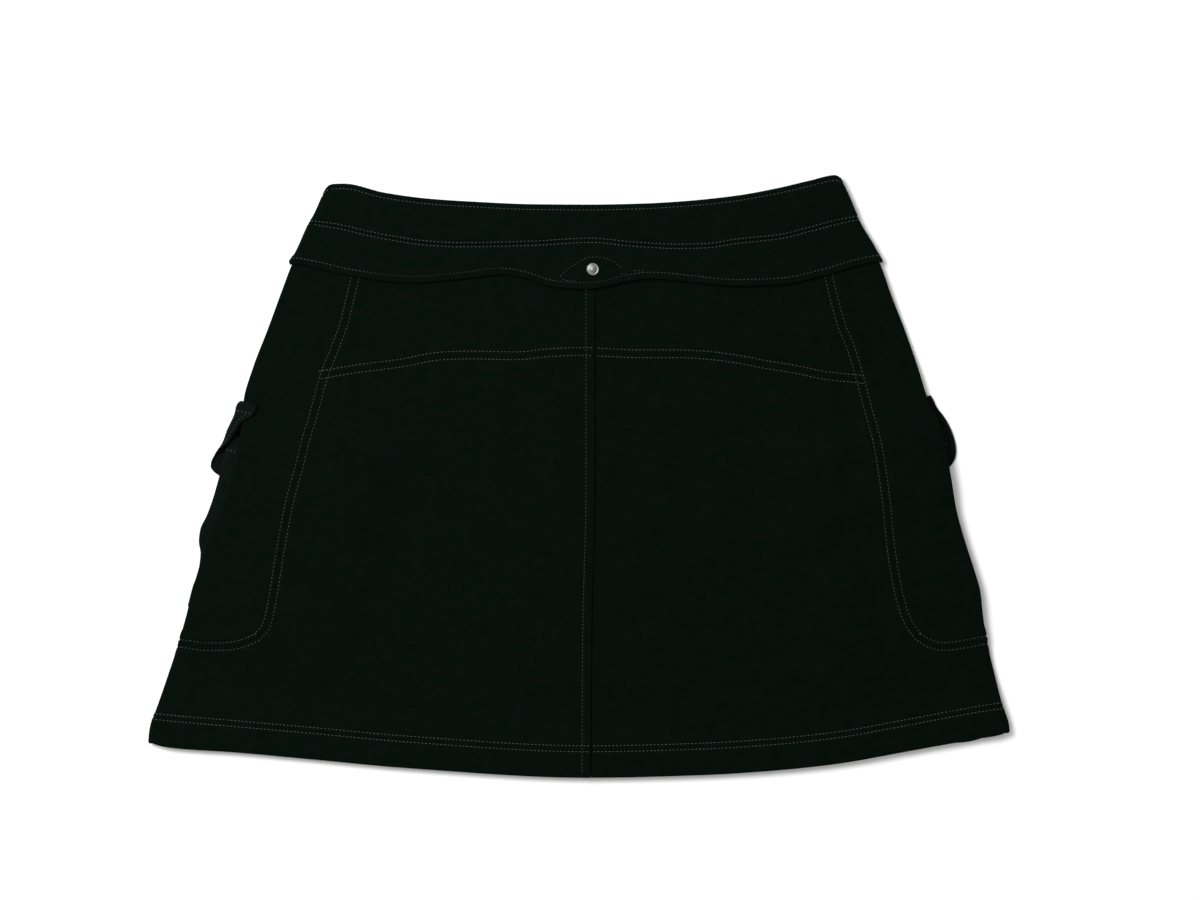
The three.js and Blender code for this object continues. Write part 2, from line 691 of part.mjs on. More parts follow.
for (const side of [-1, 1]) {
  const pairOf = (q, row) => bodyPair(side, q, row);

  const yoke = new ClothWall();
  yoke.block(BACK_COLUMNS, yokeRows, pairOf);
  addPiece(`yoke_back_${nameOf(side)}`, yoke.geometry(), materials.cloth);

  const back = new ClothWall();
  back.block(BACK_COLUMNS, panelRows, pairOf);
  back.block(BACK_COLUMNS, lowerRows, pairOf);
  back.block([...join(SIDE_COLUMNS, FOLD_COLUMNS), LOWER_SIDE_SEAM], lowerRows, pairOf);
  addPiece(`back_panel_${nameOf(side)}`, back.geometry(), materials.cloth);

  const sidePanel = new ClothWall();
  sidePanel.block(
    join(SIDE_COLUMNS, FOLD_COLUMNS, FRONT_SIDE_COLUMNS),
    [...join(YOKE_ROWS, PANEL_ROWS).slice(0, -1), 2 - LOW_SEAM_EASE].map(plainRow),
    pairOf,
  );
  addPiece(`side_panel_${nameOf(side)}`, sidePanel.geometry(), materials.cloth);
}

// The front panel runs from side seam to side seam, and is wider below the side panels
const front = new ClothWall();
for (const side of [-1, 1]) {
  const columns = side < 0 ? FRONT_COLUMNS : [...FRONT_COLUMNS].reverse();
  const lowerColumns = FRONT_SIDE_COLUMNS.filter((q) => q >= LOWER_SIDE_SEAM);
  const outer = side < 0 ? lowerColumns : [...lowerColumns].reverse();
  const pairOf = (q, row) => bodyPair(side, q, row);
  front.block(columns, [...join(YOKE_ROWS, PANEL_ROWS).map(plainRow)], pairOf);
  front.block(columns, lowerRows, pairOf);
  front.block(outer, lowerRows, pairOf);
}
addPiece('front_panel', front.geometry(), materials.cloth);

// Upper face of the hip band, with the swell round the rivet and the lower edge standing off
function bandHeight(side, x, y) {
  const lens = 1 - ((x - RIVET.x) / SWELL.halfLength) ** 2 - ((y - RIVET.y) / SWELL.halfHeight) ** 2;
  const nearEdge = 1 - smooth(0, STAND_OFF_ZONE, y - bandEdge(x));
  return backHeight(side, x, y) + LAYER + SWELL.lift * Math.max(0, lens) + standOff(x) * nearEdge;
}

// Point of a band's outer face: w runs round it, from the left fold over the back (0 to 1), round the
// right fold (1 to 2), along the front (2 to 3) and round the left fold (3 to 4), v from edge to edge
function bandPoint(w, v, lower, upper) {
  const onFront = w > 2 && w < 3;
  const across = w <= 1 ? w : w <= 2 ? 1 : Math.max(0, 3 - w);
  let y = BAND_START;
  let x = 0;
  let side = 1;
  for (let pass = 0; pass < 4; pass += 1) {
    const left = bandFold.left(y);
    const right = bandFold.right(y);
    side = lerp(left, right, across) < CENTRE_SEAM ? -1 : 1;
    const radius = bandHeight(side, across < 0.5 ? left : right, y) / 2;
    const dip = onFront ? Math.sin((w - 2) * Math.PI) : 0;
    x = lerp(left + radius, right - radius, across);
    y = lerp(lower(x, dip), upper(x, dip), v);
    if (pass < 3) continue;
    if (w <= 1) return new THREE.Vector3(x, y, bandHeight(side, x, y));
    if (w >= 2 && w <= 3) return new THREE.Vector3(x, y, 0);
    const angle = Math.PI * (w <= 2 ? w - 1 : 4 - w);
    const outward = w <= 2 ? 1 : -1;
    return new THREE.Vector3(x + outward * radius * Math.sin(angle), y, radius * (1 + Math.cos(angle)));
  }
  return null;
}

const evenStops = (from, count) => Array.from({ length: count + 1 }, (unused, i) => from + i / count);
const bandStops = join(
  evenStops(0, BAND_STEPS.back),
  evenStops(1, BAND_STEPS.fold),
  evenStops(2, BAND_STEPS.front),
  evenStops(3, BAND_STEPS.fold),
);

function bandPiece(rows, wall, lower, upper) {
  const piece = new ClothWall();
  const surface = (w, v) => bandPoint(w, v, lower, upper);
  piece.block(bandStops, rows, (w, row) => {
    const place = w === 4 ? 0 : w;
    const normal = faceNormal(surface, place === 0 ? 4 - STEP : place, row.v, 1);
    const base = surface(place, row.v);
    return {
      face: base.clone().addScaledVector(normal, -row.ease),
      back: base.clone().addScaledVector(normal, row.ease - wall),
    };
  });
  return piece.geometry();
}

const frontDip = (dip) => FRONT_WAIST_DIP * dip;
const waistRows = [
  { v: 0, ease: 0 },
  { v: 0.5, ease: 0 },
  { v: 0.94, ease: 0 },
  { v: 1, ease: 0.7 },
];
const hipRows = [0, 0.14, 0.3, 0.5, 0.75, 1].map((v) => ({ v, ease: 0 }));
const seamLine = (x, dip) => waistSeam(x) - frontDip(dip);
const waistTop = (x, dip) => waistEdge(x) - frontDip(dip);
addPiece(
  'waistband',
  bandPiece(waistRows, WAIST_WALL, (x, dip) => seamLine(x, dip) + 2 * GAP, waistTop),
  materials.band,
);
addPiece(
  'hip_band',
  bandPiece(hipRows, CLOTH, (x, dip) => (dip > 0 ? frontBandEdge(x) : bandEdge(x)), seamLine),
  materials.band,
);

// Rivet cap: a flat rim and a low crown, just off the hip band
const rivetProfile = [
  new THREE.Vector2(0, 0),
  new THREE.Vector2(RIVET.radius, 0),
  new THREE.Vector2(RIVET.radius, RIVET.rim),
];
for (let i = 1; i <= RIVET.crownSteps; i += 1) {
  const angle = (Math.PI / 2) * (i / RIVET.crownSteps);
  const height = RIVET.rim + (RIVET.crown - RIVET.rim) * Math.sin(angle);
  rivetProfile.push(new THREE.Vector2(i === RIVET.crownSteps ? 0 : RIVET.radius * Math.cos(angle), height));
}
const rivet = new THREE.LatheGeometry(rivetProfile, RIVET.sides);
rivet.rotateX(Math.PI / 2);
rivet.translate(RIVET.x, RIVET.y, bandHeight(-1, RIVET.x, RIVET.y) + GAP);
addPiece('rivet', rivet, materials.metal);

// Pocket bag: a pleated patch whose side edges turn in, lying under the side panel
function bagPair(side, column, along) {
  const frame = frames[nameOf(side)];
  const floor = LAYER * (1 - smooth(BAG_STEP_DOWN.from, BAG_STEP_DOWN.to, along));
  const outer = bagOuterEdge[nameOf(side)](along) + TURN_OUTER;
  const inner = POCKET_INNER_EDGE - TURN_OUTER;
  const edge = column.edge === 'outer' ? outer : inner;
  const towards = column.edge === 'outer' ? -1 : 1;
  const base = column.edge ? edge - towards * column.inset : lerp(inner, outer, column.part);
  const point = (out, height) => {
    const inward = base + towards * out;
    return new THREE.Vector3(frame.x(along, inward), frame.y(along, inward), floor + height);
  };
  return { face: point(column.faceOut, column.face), back: point(column.backOut, column.back) };
}

const flatSheet = { face: 0, back: CLOTH, faceOut: 0, backOut: 0 };
const gusset = (edge, inset) => ({ edge, inset, ...turned(Math.PI) });
const turns = (edge) => turnAngles.map((angle) => ({ edge, inset: 0, ...turned(angle) }));
const bagColumns = [
  gusset('inner', GUSSET),
  ...turns('inner').reverse(),
  ...[0.2, 0.4, 0.6, 0.8].map((part) => ({ part, ...flatSheet })),
  ...turns('outer'),
  gusset('outer', GUSSET / 2),
  gusset('outer', GUSSET),
];
const bagRows = [
  ...[BAG_TOP, 31, 36, 42, 48, 54],
  ...[BAG_STEP_DOWN.from, 67, BAG_STEP_DOWN.to],
  ...[89, 100, 109, 118, 131, 144, BAG_BOTTOM],
];

// Shape of a flap's row at a distance down it, as smooth curves through its table
function flapCurves(table) {
  const [bend, rise, turn, back] = ['bend', 'rise', 'turn', 'back'].map((key) => curve(table, 'along', key));
  return { bend, rise, turn, back };
}
const flapForm = { left: flapCurves(FLAP_SHAPE.left), right: flapCurves(FLAP_SHAPE.right) };

// The two faces of a flap at a column, flat or past the bend, and at a distance down it
function flapPair(side, column, along) {
  const frame = frames[nameOf(side)];
  const shape = flapForm[nameOf(side)];
  const bend = shape.bend(along);
  const rise = shape.rise(along);
  const turn = THREE.MathUtils.degToRad(shape.turn(along));
  const back = shape.back(along);
  const arc = (turn * (FLAP_BEND_WIDTH + rise)) / 2;
  const run = (column.past ?? 0) * (arc + back);
  const angle = arc > 0 ? turn * Math.min(1, run / arc) : 0;
  const straight = Math.max(0, run - arc);
  const stretch = Math.hypot(FLAP_BEND_WIDTH * Math.cos(angle), rise * Math.sin(angle));
  const outward = (FLAP_BEND_WIDTH * Math.cos(angle)) / stretch;
  const upward = (rise * Math.sin(angle)) / stretch;
  const inwardAtBend = column.past === undefined ? lerp(FLAP_INNER_EDGE, bend, column.flat) : bend;
  const point = (out) => {
    const past = FLAP_BEND_WIDTH * Math.sin(angle) + straight * outward + out * upward;
    const height = CLOTH / 2 + rise * (1 - Math.cos(angle)) + straight * upward - out * outward;
    const inward = inwardAtBend - past;
    return new THREE.Vector3(frame.x(along, inward), frame.y(along, inward), height);
  };
  return { face: point(CLOTH / 2), back: point(-CLOTH / 2) };
}

const flapColumns = [
  ...[0, 0.25, 0.5, 0.75, 0.92, 1].map((flat) => ({ flat })),
  ...evenStops(0, FLAP_STEPS).slice(1).map((past) => ({ past })),
];

for (const side of [-1, 1]) {
  const bag = new ClothWall();
  bag.block(bagColumns, bagRows, (column, along) => bagPair(side, column, along));
  addPiece(`pocket_bag_${nameOf(side)}`, bag.geometry(), materials.cloth);

  const flap = new ClothWall();
  const flapRows = FLAP_SHAPE[nameOf(side)].map((row) => row.along);
  flap.block(flapColumns, flapRows, (column, along) => flapPair(side, column, along));
  addPiece(`pocket_flap_${nameOf(side)}`, flap.geometry(), materials.cloth);
}

export default skirt;
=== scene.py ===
"""Short cargo skirt in near-black double knit, laid flat on its front with its back facing up.

The form repeats the solid model's sizes, in millimetres, on a finer grid, and adds what is sewn:
rolled seam edges, the pull of the stitching, the felled centre seam, the rolled hem and the thread. It also
bends the centre seam and rounds the hip band's ends, which the solid model leaves plain.
Meshes are made in metres. +X is to the right and +Y towards the waist as seen from above.
"""

import logging
import math
from dataclasses import dataclass, field
from enum import Enum
from typing import Callable, NamedTuple, Sequence

import bmesh
import bpy
import numpy as np
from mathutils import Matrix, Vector
from mathutils.kdtree import KDTree


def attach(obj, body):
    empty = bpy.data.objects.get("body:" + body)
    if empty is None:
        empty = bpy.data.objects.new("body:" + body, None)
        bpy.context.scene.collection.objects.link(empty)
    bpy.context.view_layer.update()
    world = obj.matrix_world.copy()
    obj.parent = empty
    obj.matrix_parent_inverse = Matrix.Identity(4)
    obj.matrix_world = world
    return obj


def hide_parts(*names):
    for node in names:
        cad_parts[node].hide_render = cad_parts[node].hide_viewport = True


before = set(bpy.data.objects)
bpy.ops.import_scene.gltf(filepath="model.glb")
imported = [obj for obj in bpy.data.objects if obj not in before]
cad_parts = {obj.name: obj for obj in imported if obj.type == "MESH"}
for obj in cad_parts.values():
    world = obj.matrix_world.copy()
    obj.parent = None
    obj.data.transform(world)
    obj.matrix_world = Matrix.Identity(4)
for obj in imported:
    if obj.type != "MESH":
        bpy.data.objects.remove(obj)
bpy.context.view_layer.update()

log = logging.getLogger("skirt")

Array = np.ndarray
Colour = tuple[float, float, float]
Socket = bpy.types.NodeSocket
Input = float | tuple[float, ...] | Socket
Relief = Callable[[Array, Array, Array], Array]
RowLine = Callable[[Array, Array], Array]
MM = 0.001
BODY = "root"
# Distance that stands for out of reach, and the least that is divided by
FAR = 1e3
TINY = 1e-6
# Rounds of the searches for a place on the body, coarse and close
SEARCH_ROUNDS = 3
CLOSE_ROUNDS = 5


class Side(Enum):
    """Half of the laid skirt, as seen from above."""

    LEFT = -1
    RIGHT = 1

    @property
    def word(self) -> str:
        """The side's word in piece names."""
        return self.name.lower()


class Slot(Enum):
    """Finish that a piece takes from the record."""

    CLOTH = "cloth"
    THREAD = "thread"
    RIVET = "rivet"


class Pair(NamedTuple):
    """Row of a table: a place, and a value for each side."""

    at: float
    left: float
    right: float


class Crease(NamedTuple):
    """Soft ridge (positive lift) or trough of the laid back layer, as a run of plan points."""

    run: tuple[tuple[float, float], ...]
    lift: float
    width: float


class FlapRow(NamedTuple):
    """Flap at one distance down it: where it bends up, the bend's rise and angle, and the run back."""

    along: float
    bend: float
    rise: float = 3.0
    turn: float = 0.0
    back: float = 0.5


def lerp(start: Array, end: Array, part: Array) -> Array:
    """Value part of the way from start to end."""
    return start + (end - start) * part


def smooth(start: float, end: float, where: Array) -> Array:
    """Smooth step from 0 at start to 1 at end, start being the lower."""
    part = np.clip((where - start) / (end - start), 0.0, 1.0)
    return part * part * (3 - 2 * part)


def unit(vectors: Array) -> Array:
    """The vectors at length 1."""
    return vectors / np.maximum(np.linalg.norm(vectors, axis=-1, keepdims=True), 1e-9)


def run_along(points: Array) -> Array:
    """Distance of each point along a run of points."""
    return np.concatenate([[0.0], np.cumsum(np.linalg.norm(np.diff(points, axis=0), axis=1))])


def read_along(places: Array, run: Array, values: Array) -> Array:
    """Values with three parts, read at places along a run."""
    return np.stack([np.interp(places, run, values[:, k]) for k in range(3)], axis=1)


def bell(where: Array, centre: float, width: float) -> Array:
    """Smooth hump of height 1 round a centre."""
    return np.exp(-(((where - centre) / width) ** 2))


class Curve:
    """Smooth line through a few measured points, without overshoot."""

    def __init__(self, points: Sequence[tuple[float, float]]) -> None:
        """Fit the line.

        Args:
            points: pairs of place and value, in any order.
        """
        rows = np.array(sorted(points), dtype=float)
        self.at, self.value = rows[:, 0], rows[:, 1]
        step = np.diff(self.at)
        rise = np.diff(self.value) / step
        slope = np.empty_like(self.value)
        slope[0], slope[-1] = rise[0], rise[-1]
        before, after = step[:-1], step[1:]
        first, second = rise[:-1], rise[1:]
        bends = first * second > 0
        safe_first, safe_second = np.where(bends, first, 1.0), np.where(bends, second, 1.0)
        weight = (2 * after + before) / safe_first + (after + 2 * before) / safe_second
        slope[1:-1] = np.where(bends, 3 * (before + after) / weight, 0.0)
        self.slope = slope

    def __call__(self, where: Array) -> Array:
        """Value at each place; past the ends the line runs on straight."""
        where = np.asarray(where, dtype=float)
        inside = np.clip(where, self.at[0], self.at[-1])
        i = np.clip(np.searchsorted(self.at, inside, side="right") - 1, 0, len(self.at) - 2)
        width = self.at[i + 1] - self.at[i]
        f = (inside - self.at[i]) / width
        g = 1 - f
        value = g * g * (1 + 2 * f) * self.value[i] + f * f * (3 - 2 * f) * self.value[i + 1]
        value = value + f * g * width * (g * self.slope[i] - f * self.slope[i + 1])
        return value + np.where(where < inside, self.slope[0], self.slope[-1]) * (where - inside)


def pair_curves(rows: Sequence[Pair]) -> dict[Side, Curve]:
    """A curve for each side of a table."""
    return {
        Side.LEFT: Curve([(row.at, row.left) for row in rows]),
        Side.RIGHT: Curve([(row.at, row.right) for row in rows]),
    }


# Cloth, the gap between its layers, and the rounding of its edges
CLOTH = 1.5
GAP = 0.3
LAYER = CLOTH + GAP
WAIST_WALL = 2 * CLOTH
HEM_ALLOWANCE = 22.0
# A turned edge: how far its outer and inner face bulge, and their depths once it lies folded
TURN_OUTER = CLOTH + GAP / 2
TURN_INNER = GAP / 2
FOLDED = (2 * TURN_OUTER, TURN_OUTER + TURN_INNER)
TURN_STEPS = 9
LOWER_DEPTH = 86.0
EDGE_ROLL = 0.45
TWIN_ROLL = 0.3
STEEPEST_ROLL = 0.97
# How much of a sewn edge's rounding the seam hides, as a distance from the edge
SEAM_HIDES = 0.15

# Height of the laid stack, front and back together
STACK = 5.4
STACK_DROP_AT_FOLD = 1.0
FOLD_REACH = 70.0
STACK_AT_HEM = 7.2
# Where the hem thickens the stack, above the hem, and where the bands do, up the skirt
HEM_FULL, HEM_NONE = 24.0, 50.0
BAND_NONE, BAND_FULL = 116.0, 138.0
STACK_OVER_POCKET = 3.9
BLEND_SHARPNESS = 1.5

# Side folds: the height up the skirt, and where the left and right fold lie
SIDE_FOLDS = (
    Pair(222, -182.6, 192.9), Pair(189, -199.2, 207.0), Pair(172, -206.9, 217.2), Pair(160, -213.0, 223.1),
    Pair(134, -223.0, 232.5), Pair(109, -232.3, 242.3), Pair(81, -243.0, 252.0), Pair(57, -249.8, 259.5),
    Pair(36, -251.5, 269.0), Pair(7, -257.5, 275.0), Pair(-25, -267.5, 280.5), Pair(-47, -277.3, 286.5),
    Pair(-68, -283.0, 293.2), Pair(-86, -288.3, 298.3), Pair(-102, -292.0, 300.0),
    Pair(-124, -298.4, 303.7), Pair(-150, -307.0, 309.8), Pair(-170, -313.8, 314.8),
    Pair(-186, -319.2, 319.6), Pair(-200, -321.0, 321.0),
)
# The same for the two bands; its rows from 166 down round the hip band's ends
BAND_FOLDS = (
    Pair(226, -182.5, 193.0), Pair(214, -189.0, 198.4), Pair(194, -198.1, 207.0),
    Pair(189, -201.4, 209.2), Pair(172, -209.1, 219.4), Pair(166, -212.1, 222.6), Pair(163, -214.4, 224.6),
    Pair(160.2, -215.9, 225.5), Pair(158.2, -215.4, 224.6), Pair(156.5, -214.2, 223.2),
)
# The same for the side seams
SIDE_SEAMS = (
    Pair(182, -156.0, 178.0), Pair(145, -167.5, 186.3), Pair(114, -175.1, 194.5), Pair(94, -182.4, 202.5),
    Pair(73, -190.5, 208.6), Pair(50, -196.6, 214.7), Pair(28, -203.0, 220.6), Pair(11, -207.2, 223.8),
    Pair(-19, -215.2, 228.0), Pair(-50, -221.4, 231.2), Pair(-80, -226.2, 235.9),
    Pair(-100, -229.7, 241.0), Pair(-112, -233.2, 246.4), Pair(-119.3, -239.0, 251.7),
    Pair(-206, -250.0, 262.0),
)
# Height up the skirt, and how far inside the fold the front seam lies
FRONT_SEAM_INSET = Curve([(200, 82), (140, 94), (60, 122), (0, 130), (-100, 130), (-119, 120), (-206, 118)])
# The centre seam's upper part, its felled ridge, and how far the front's upper edges lie below the back's
CENTRE_SEAM = 11.5
FELL_WIDTH = 6.5
FELL_LIFT = 0.8
FRONT_WAIST_DIP = 4.0

# Lines across the skirt, left to right, as place across and height up the skirt
WAIST_EDGE = Curve([
    (-190, 214.0), (-186, 217.4), (-175, 217.9), (-145, 211.2), (-112, 206.7), (-79, 204.5), (-35, 202.6),
    (8, 202.3), (45, 203.0), (73, 204.5), (117, 209.0), (149, 214.9), (171, 220.1), (191, 224.3),
    (197, 221.4),
])
WAIST_SEAM = Curve([
    (-202, 189.6), (-178, 185.7), (-157, 180.7), (-134, 176.3), (-112, 173.4), (-90, 172.3), (-35, 173.4),
    (8, 175.6), (40, 172.8), (73, 171.1), (95, 171.6), (117, 174.9), (149, 178.3), (171, 183.7),
    (193, 189.5), (210, 193.0),
])
BAND_EDGE = Curve([
    (-217, 156.6), (-213, 158.0), (-198, 155.6), (-166, 148.4), (-123, 144.0), (-90, 146.6), (-57, 150.1),
    (-40, 147.3), (-18, 140.7), (6, 139.2), (19, 141.0), (30, 143.8), (53, 147.1), (84, 144.5), (117, 141.6),
    (149, 142.7), (182, 149.4), (204, 155.9), (222, 159.6), (226, 158.6),
])
FRONT_BAND_EDGE = Curve([
    (-215, 155.8), (-200, 155.2), (-120, 148.0), (5, 143.0), (130, 148.0), (210, 156.0), (224, 157.6),
])
ARCHED_SEAM = Curve([
    (-250, 66.0), (-192, 75.7), (-166, 80.1), (-134, 84.2), (-101, 89.8), (-79, 90.4), (-46, 89.8),
    (-24, 92.0), (0, 93.0), (45, 91.3), (73, 91.3), (95, 90.2), (117, 87.4), (138, 83.4), (161, 79.7),
    (182, 75.3), (208, 72.5), (258, 64.0),
])
HEM_LINE = Curve([
    (-321, -194.5), (-316, -199.0), (-300, -202.0), (-261, -204.8), (-194, -210.9), (-128, -216.9),
    (6, -224.1), (90, -222.2), (140, -219.2), (190, -214.0), (240, -205.2), (273, -199.0), (296, -194.8),
    (314, -191.6), (321, -187.5),
])
# Place across of the centre seam, up the skirt
CENTRE_LINE = Curve([
    (-226, 8.6), (-160, 8.8), (-110, 9.2), (-66, 10.3), (-25, 11.4), (20, CENTRE_SEAM), (200, CENTRE_SEAM),
])
# Line that the hem's rows of stitching keep their distance from, straighter at its ends than the hem
HEM_ROW_LINE = Curve([
    (-318, -199.8), (-300, -201.7), (-261, -205.0), (-194, -210.9), (-128, -216.9), (6, -224.1), (90, -222.2),
    (140, -219.2), (190, -214.0), (240, -205.2), (273, -199.0), (296, -194.8), (318, -191.4),
])
# Bottom seam of the side panels, by column: 0 at the centre, 1 at the side seam, 2 at the fold
LOW_SEAM = Curve([
    (-2.0, -124.0), (-1.62, -126.5), (-1.33, -125.9), (-1.07, -121.3), (-1.0, -119.3), (-0.85, -122.5),
    (-0.5, -131.0), (0.0, -136.0), (0.5, -131.0), (0.85, -122.5), (1.0, -119.3), (1.13, -123.6),
    (1.35, -126.3), (1.66, -124.8), (2.0, -121.8),
])
# How far the front's hem lies above the back's, by place across
FRONT_HEM_SHIFT = Curve([
    (-321, 0.0), (-200, 1.5), (200, 1.5), (270, 0.4), (291, -1.3), (304, 0.0), (321, 0.0),
])

# Creases that the solid model has too, and the part of a half wave that each follows along its run
CREASE_ENDS = (0.12, 0.88)
CREASES = (
    Crease(((-108, 26), (-96, 0), (-78, -17), (-57, -47), (-18, -70)), -1.4, 10),
    Crease(((24, -64), (46, -51), (68, -42), (93, -20)), -1.2, 9),
    Crease(((-211, -38), (-194, -67), (-163, -89), (-134, -111), (-108, -140)), -1.1, 12),
    Crease(((149, -81), (178, -67), (213, -38)), -0.9, 11),
    Crease(((110, 137), (149, 108), (178, 95)), -1.0, 9),
    Crease(((-18, 64), (-18, 30), (-20, -3)), 0.8, 12),
)
# Smaller ones, which the solid model leaves out
FINE_CREASES = (
    Crease(((-24, 121), (-12, 113), (-6, 103)), -0.5, 6),
    Crease(((-150, 128), (-120, 112), (-92, 108)), 0.35, 9),
    Crease(((60, 118), (84, 108), (104, 112)), 0.3, 8),
    Crease(((-190, 22), (-176, -6), (-170, -34)), 0.45, 11),
    Crease(((196, 40), (186, 10), (190, -22)), 0.4, 12),
    Crease(((-64, 60), (-52, 34), (-56, 8)), -0.3, 9),
    Crease(((66, 62), (58, 30), (64, 2)), 0.35, 12),
    Crease(((126, 44), (134, 12), (120, -16)), -0.35, 11),
    Crease(((-60, -112), (-34, -128), (-4, -132)), 0.4, 13),
    Crease(((60, -118), (92, -132), (128, -128)), -0.35, 12),
    Crease(((170, -116), (196, -134), (214, -158)), 0.4, 12),
    Crease(((-196, -120), (-180, -148), (-172, -172)), -0.35, 11),
)

# Pockets lie on the front half of the side panels, turned with the side
POCKET_TILT = math.radians(13.5)
POCKET_PLACE = {Side.LEFT: (-250.0, 56.0), Side.RIGHT: (259.5, 60.0)}
# How far a pocket lifts the front and the back half of the side panel, by the distance down it
FRONT_RISE = Curve([
    (-34, 0), (-8, LAYER), (8, LAYER), (24, 3 * LAYER + 0.2), (66, 3 * LAYER + 0.2),
    (84, 2 * LAYER + 0.2), (164, 2 * LAYER + 0.2), (190, 0),
])
BACK_RISE = Curve([(-50, 0), (-12, 1.9), (0, 2.4), (20, 5.8), (68, 5.9), (88, 4.2), (164, 4.0), (206, 0)])
# Flaps, bent up and folded back over the side at the top of the left one
FLAP_SHAPE = {
    Side.LEFT: (
        FlapRow(0, 1.7, 3.7, 180, 8.6), FlapRow(2.5, -0.1, 3.8, 180, 10.7), FlapRow(6, -0.7, 4, 180, 11.3),
        FlapRow(9, -0.4, 4.2, 180, 9.2), FlapRow(12, -0.7, 4.35, 180, 6.5), FlapRow(15, -1.2, 4.4, 180, 4.4),
        FlapRow(19, -2.1, 4.1, 180, 3.3), FlapRow(25, -3.3, 3.8, 178, 2.7), FlapRow(30, -3.7, 3.5, 170, 1.8),
        FlapRow(34, -4.4, 3.3, 155, 1.2), FlapRow(38, -5.9, 3.0, 125, 0.6), FlapRow(42, -7.5, turn=85),
        FlapRow(46, -9.1, turn=55), FlapRow(50, -11.2, turn=25), FlapRow(53, -11.6, turn=10),
        FlapRow(56, -9.0, turn=5), FlapRow(58, -4.6),
    ),
    Side.RIGHT: (
        FlapRow(0, -1.6), FlapRow(3, -2.6), FlapRow(10, -4.0), FlapRow(16.5, -7.0), FlapRow(23, -9.2),
        FlapRow(32, -10.9), FlapRow(38.5, -11.2), FlapRow(44, -10.6), FlapRow(49, -8.9), FlapRow(53, -5.8),
        FlapRow(56, -1.6),
    ),
}
# Where that lift fades, by the distance in from the pocket's outer line
FRONT_RISE_SPAN = (100.0, 124.0)
BACK_RISE_SPAN = (96.0, 150.0)

# Hip band: how far its lower edge stands off the panels, by place across
STAND_OFF = Curve([(-225, 0.0), (-120, 0.1), (-30, 0.4), (40, 1.0), (130, 0.9), (190, 0.2), (225, 0.0)])
RIVET_PLACE = (10.0, 154.1)

# Rows of stitching, by their distance from the seam, edge or pocket's mouth beside them
ROW_OFFSET = 2.9
FELL_ROW = 6.6
HEM_ROWS = (19.6, 24.0)
WAIST_TOP_ROW = 4.1
TWIN_ROW = 1.6
HIP_EDGE_ROW = 4.8
FLAP_TOP_ROW = 7.7
FLAP_EDGE_ROW = 4.0
BAG_MOUTH_ROW = 12.0
# Rows across a flap's inner and outer end, as columns
FLAP_END_COLUMNS = (0.04, 1.8)


class Stretch(NamedTuple):
    """Stretch of a line on the body: its first and last column and row, and how many points mark it."""

    q: tuple[float, float]
    t: tuple[float, float]
    points: int


# Column of the seam below a side panel
LOWER_SIDE_SEAM = 3.1
# Twin rows beside the seams, as their tone and the lines that they follow on each half; a tone below 1 is
# painted shade on the thread
TWIN_ROWS = {
    "skirt_stitches_arched_seam": (0.95, [[Stretch((0.004, 1.09), (1, 1), 400)]]),
    "skirt_stitches_side_seams": (0.7, [[Stretch((1, 1), (0.2, 2), 400), Stretch((1, 3.9), (2, 2), 500)]]),
    "skirt_stitches_front_seams": (1.0, [
        [Stretch((4, 4), (0.2, 1.96), 400)],
        [Stretch((LOWER_SIDE_SEAM, LOWER_SIDE_SEAM), (2.06, 2.96), 120)],
    ]),
}
# Single rows: the one that holds the centre seam, and the hem's, whose rows are worked out
CENTRE_ROW = Stretch((0.02, 0.02), (0.2, 2.965), 500)
# Painted shade: the centre row's thread is dimmed below the other rows
CENTRE_ROW_SHADED_TONE = 0.5
HEM_ROW = Stretch((0.001, 4.999), (3, 3), 1200)
# Painted shade on the row along the hip band's lower edge: how bright its thread looks, by place across
HIP_EDGE_SHADED_TONES = Curve([
    (-225, 1.0), (-168, 0.95), (-150, 0.3), (-66, 0.25), (-52, 0.75), (-22, 0.75), (-10, 0.35), (32, 0.35),
    (48, 0.75), (120, 0.75), (225, 0.9),
])
# Short rows that hold the swelling round the rivet, as plan points
RIVET_ROWS = (
    ((-15.2, 147.9), (-11.1, 151.9), (-6.3, 155.6), (0.1, 159.8), (6.2, 162.8), (10.1, 163.2), (16.1, 162.8),
     (21.8, 161.6), (25.5, 159.8), (28.5, 157.6), (32.1, 154.9)),
    ((-14.5, 147.1), (-7.0, 145.3), (-1.0, 145.3)),
    ((28.8, 150.6), (37.0, 150.6)),
    ((39.2, 153.1), (49.6, 153.1)),
    ((32.5, 147.5), (39.2, 147.5)),
)
# Painted shade: the thread of the rows round the rivet is dimmed
RIVET_ROW_SHADED_TONE = 0.4


def through(line: Sequence[Stretch]) -> tuple[Array, Array]:
    """Columns and rows of the points of a line, with each corner taken once."""
    q = [np.linspace(*part.q, part.points)[min(i, 1):] for i, part in enumerate(line)]
    t = [np.linspace(*part.t, part.points)[min(i, 1):] for i, part in enumerate(line)]
    return np.concatenate(q), np.concatenate(t)


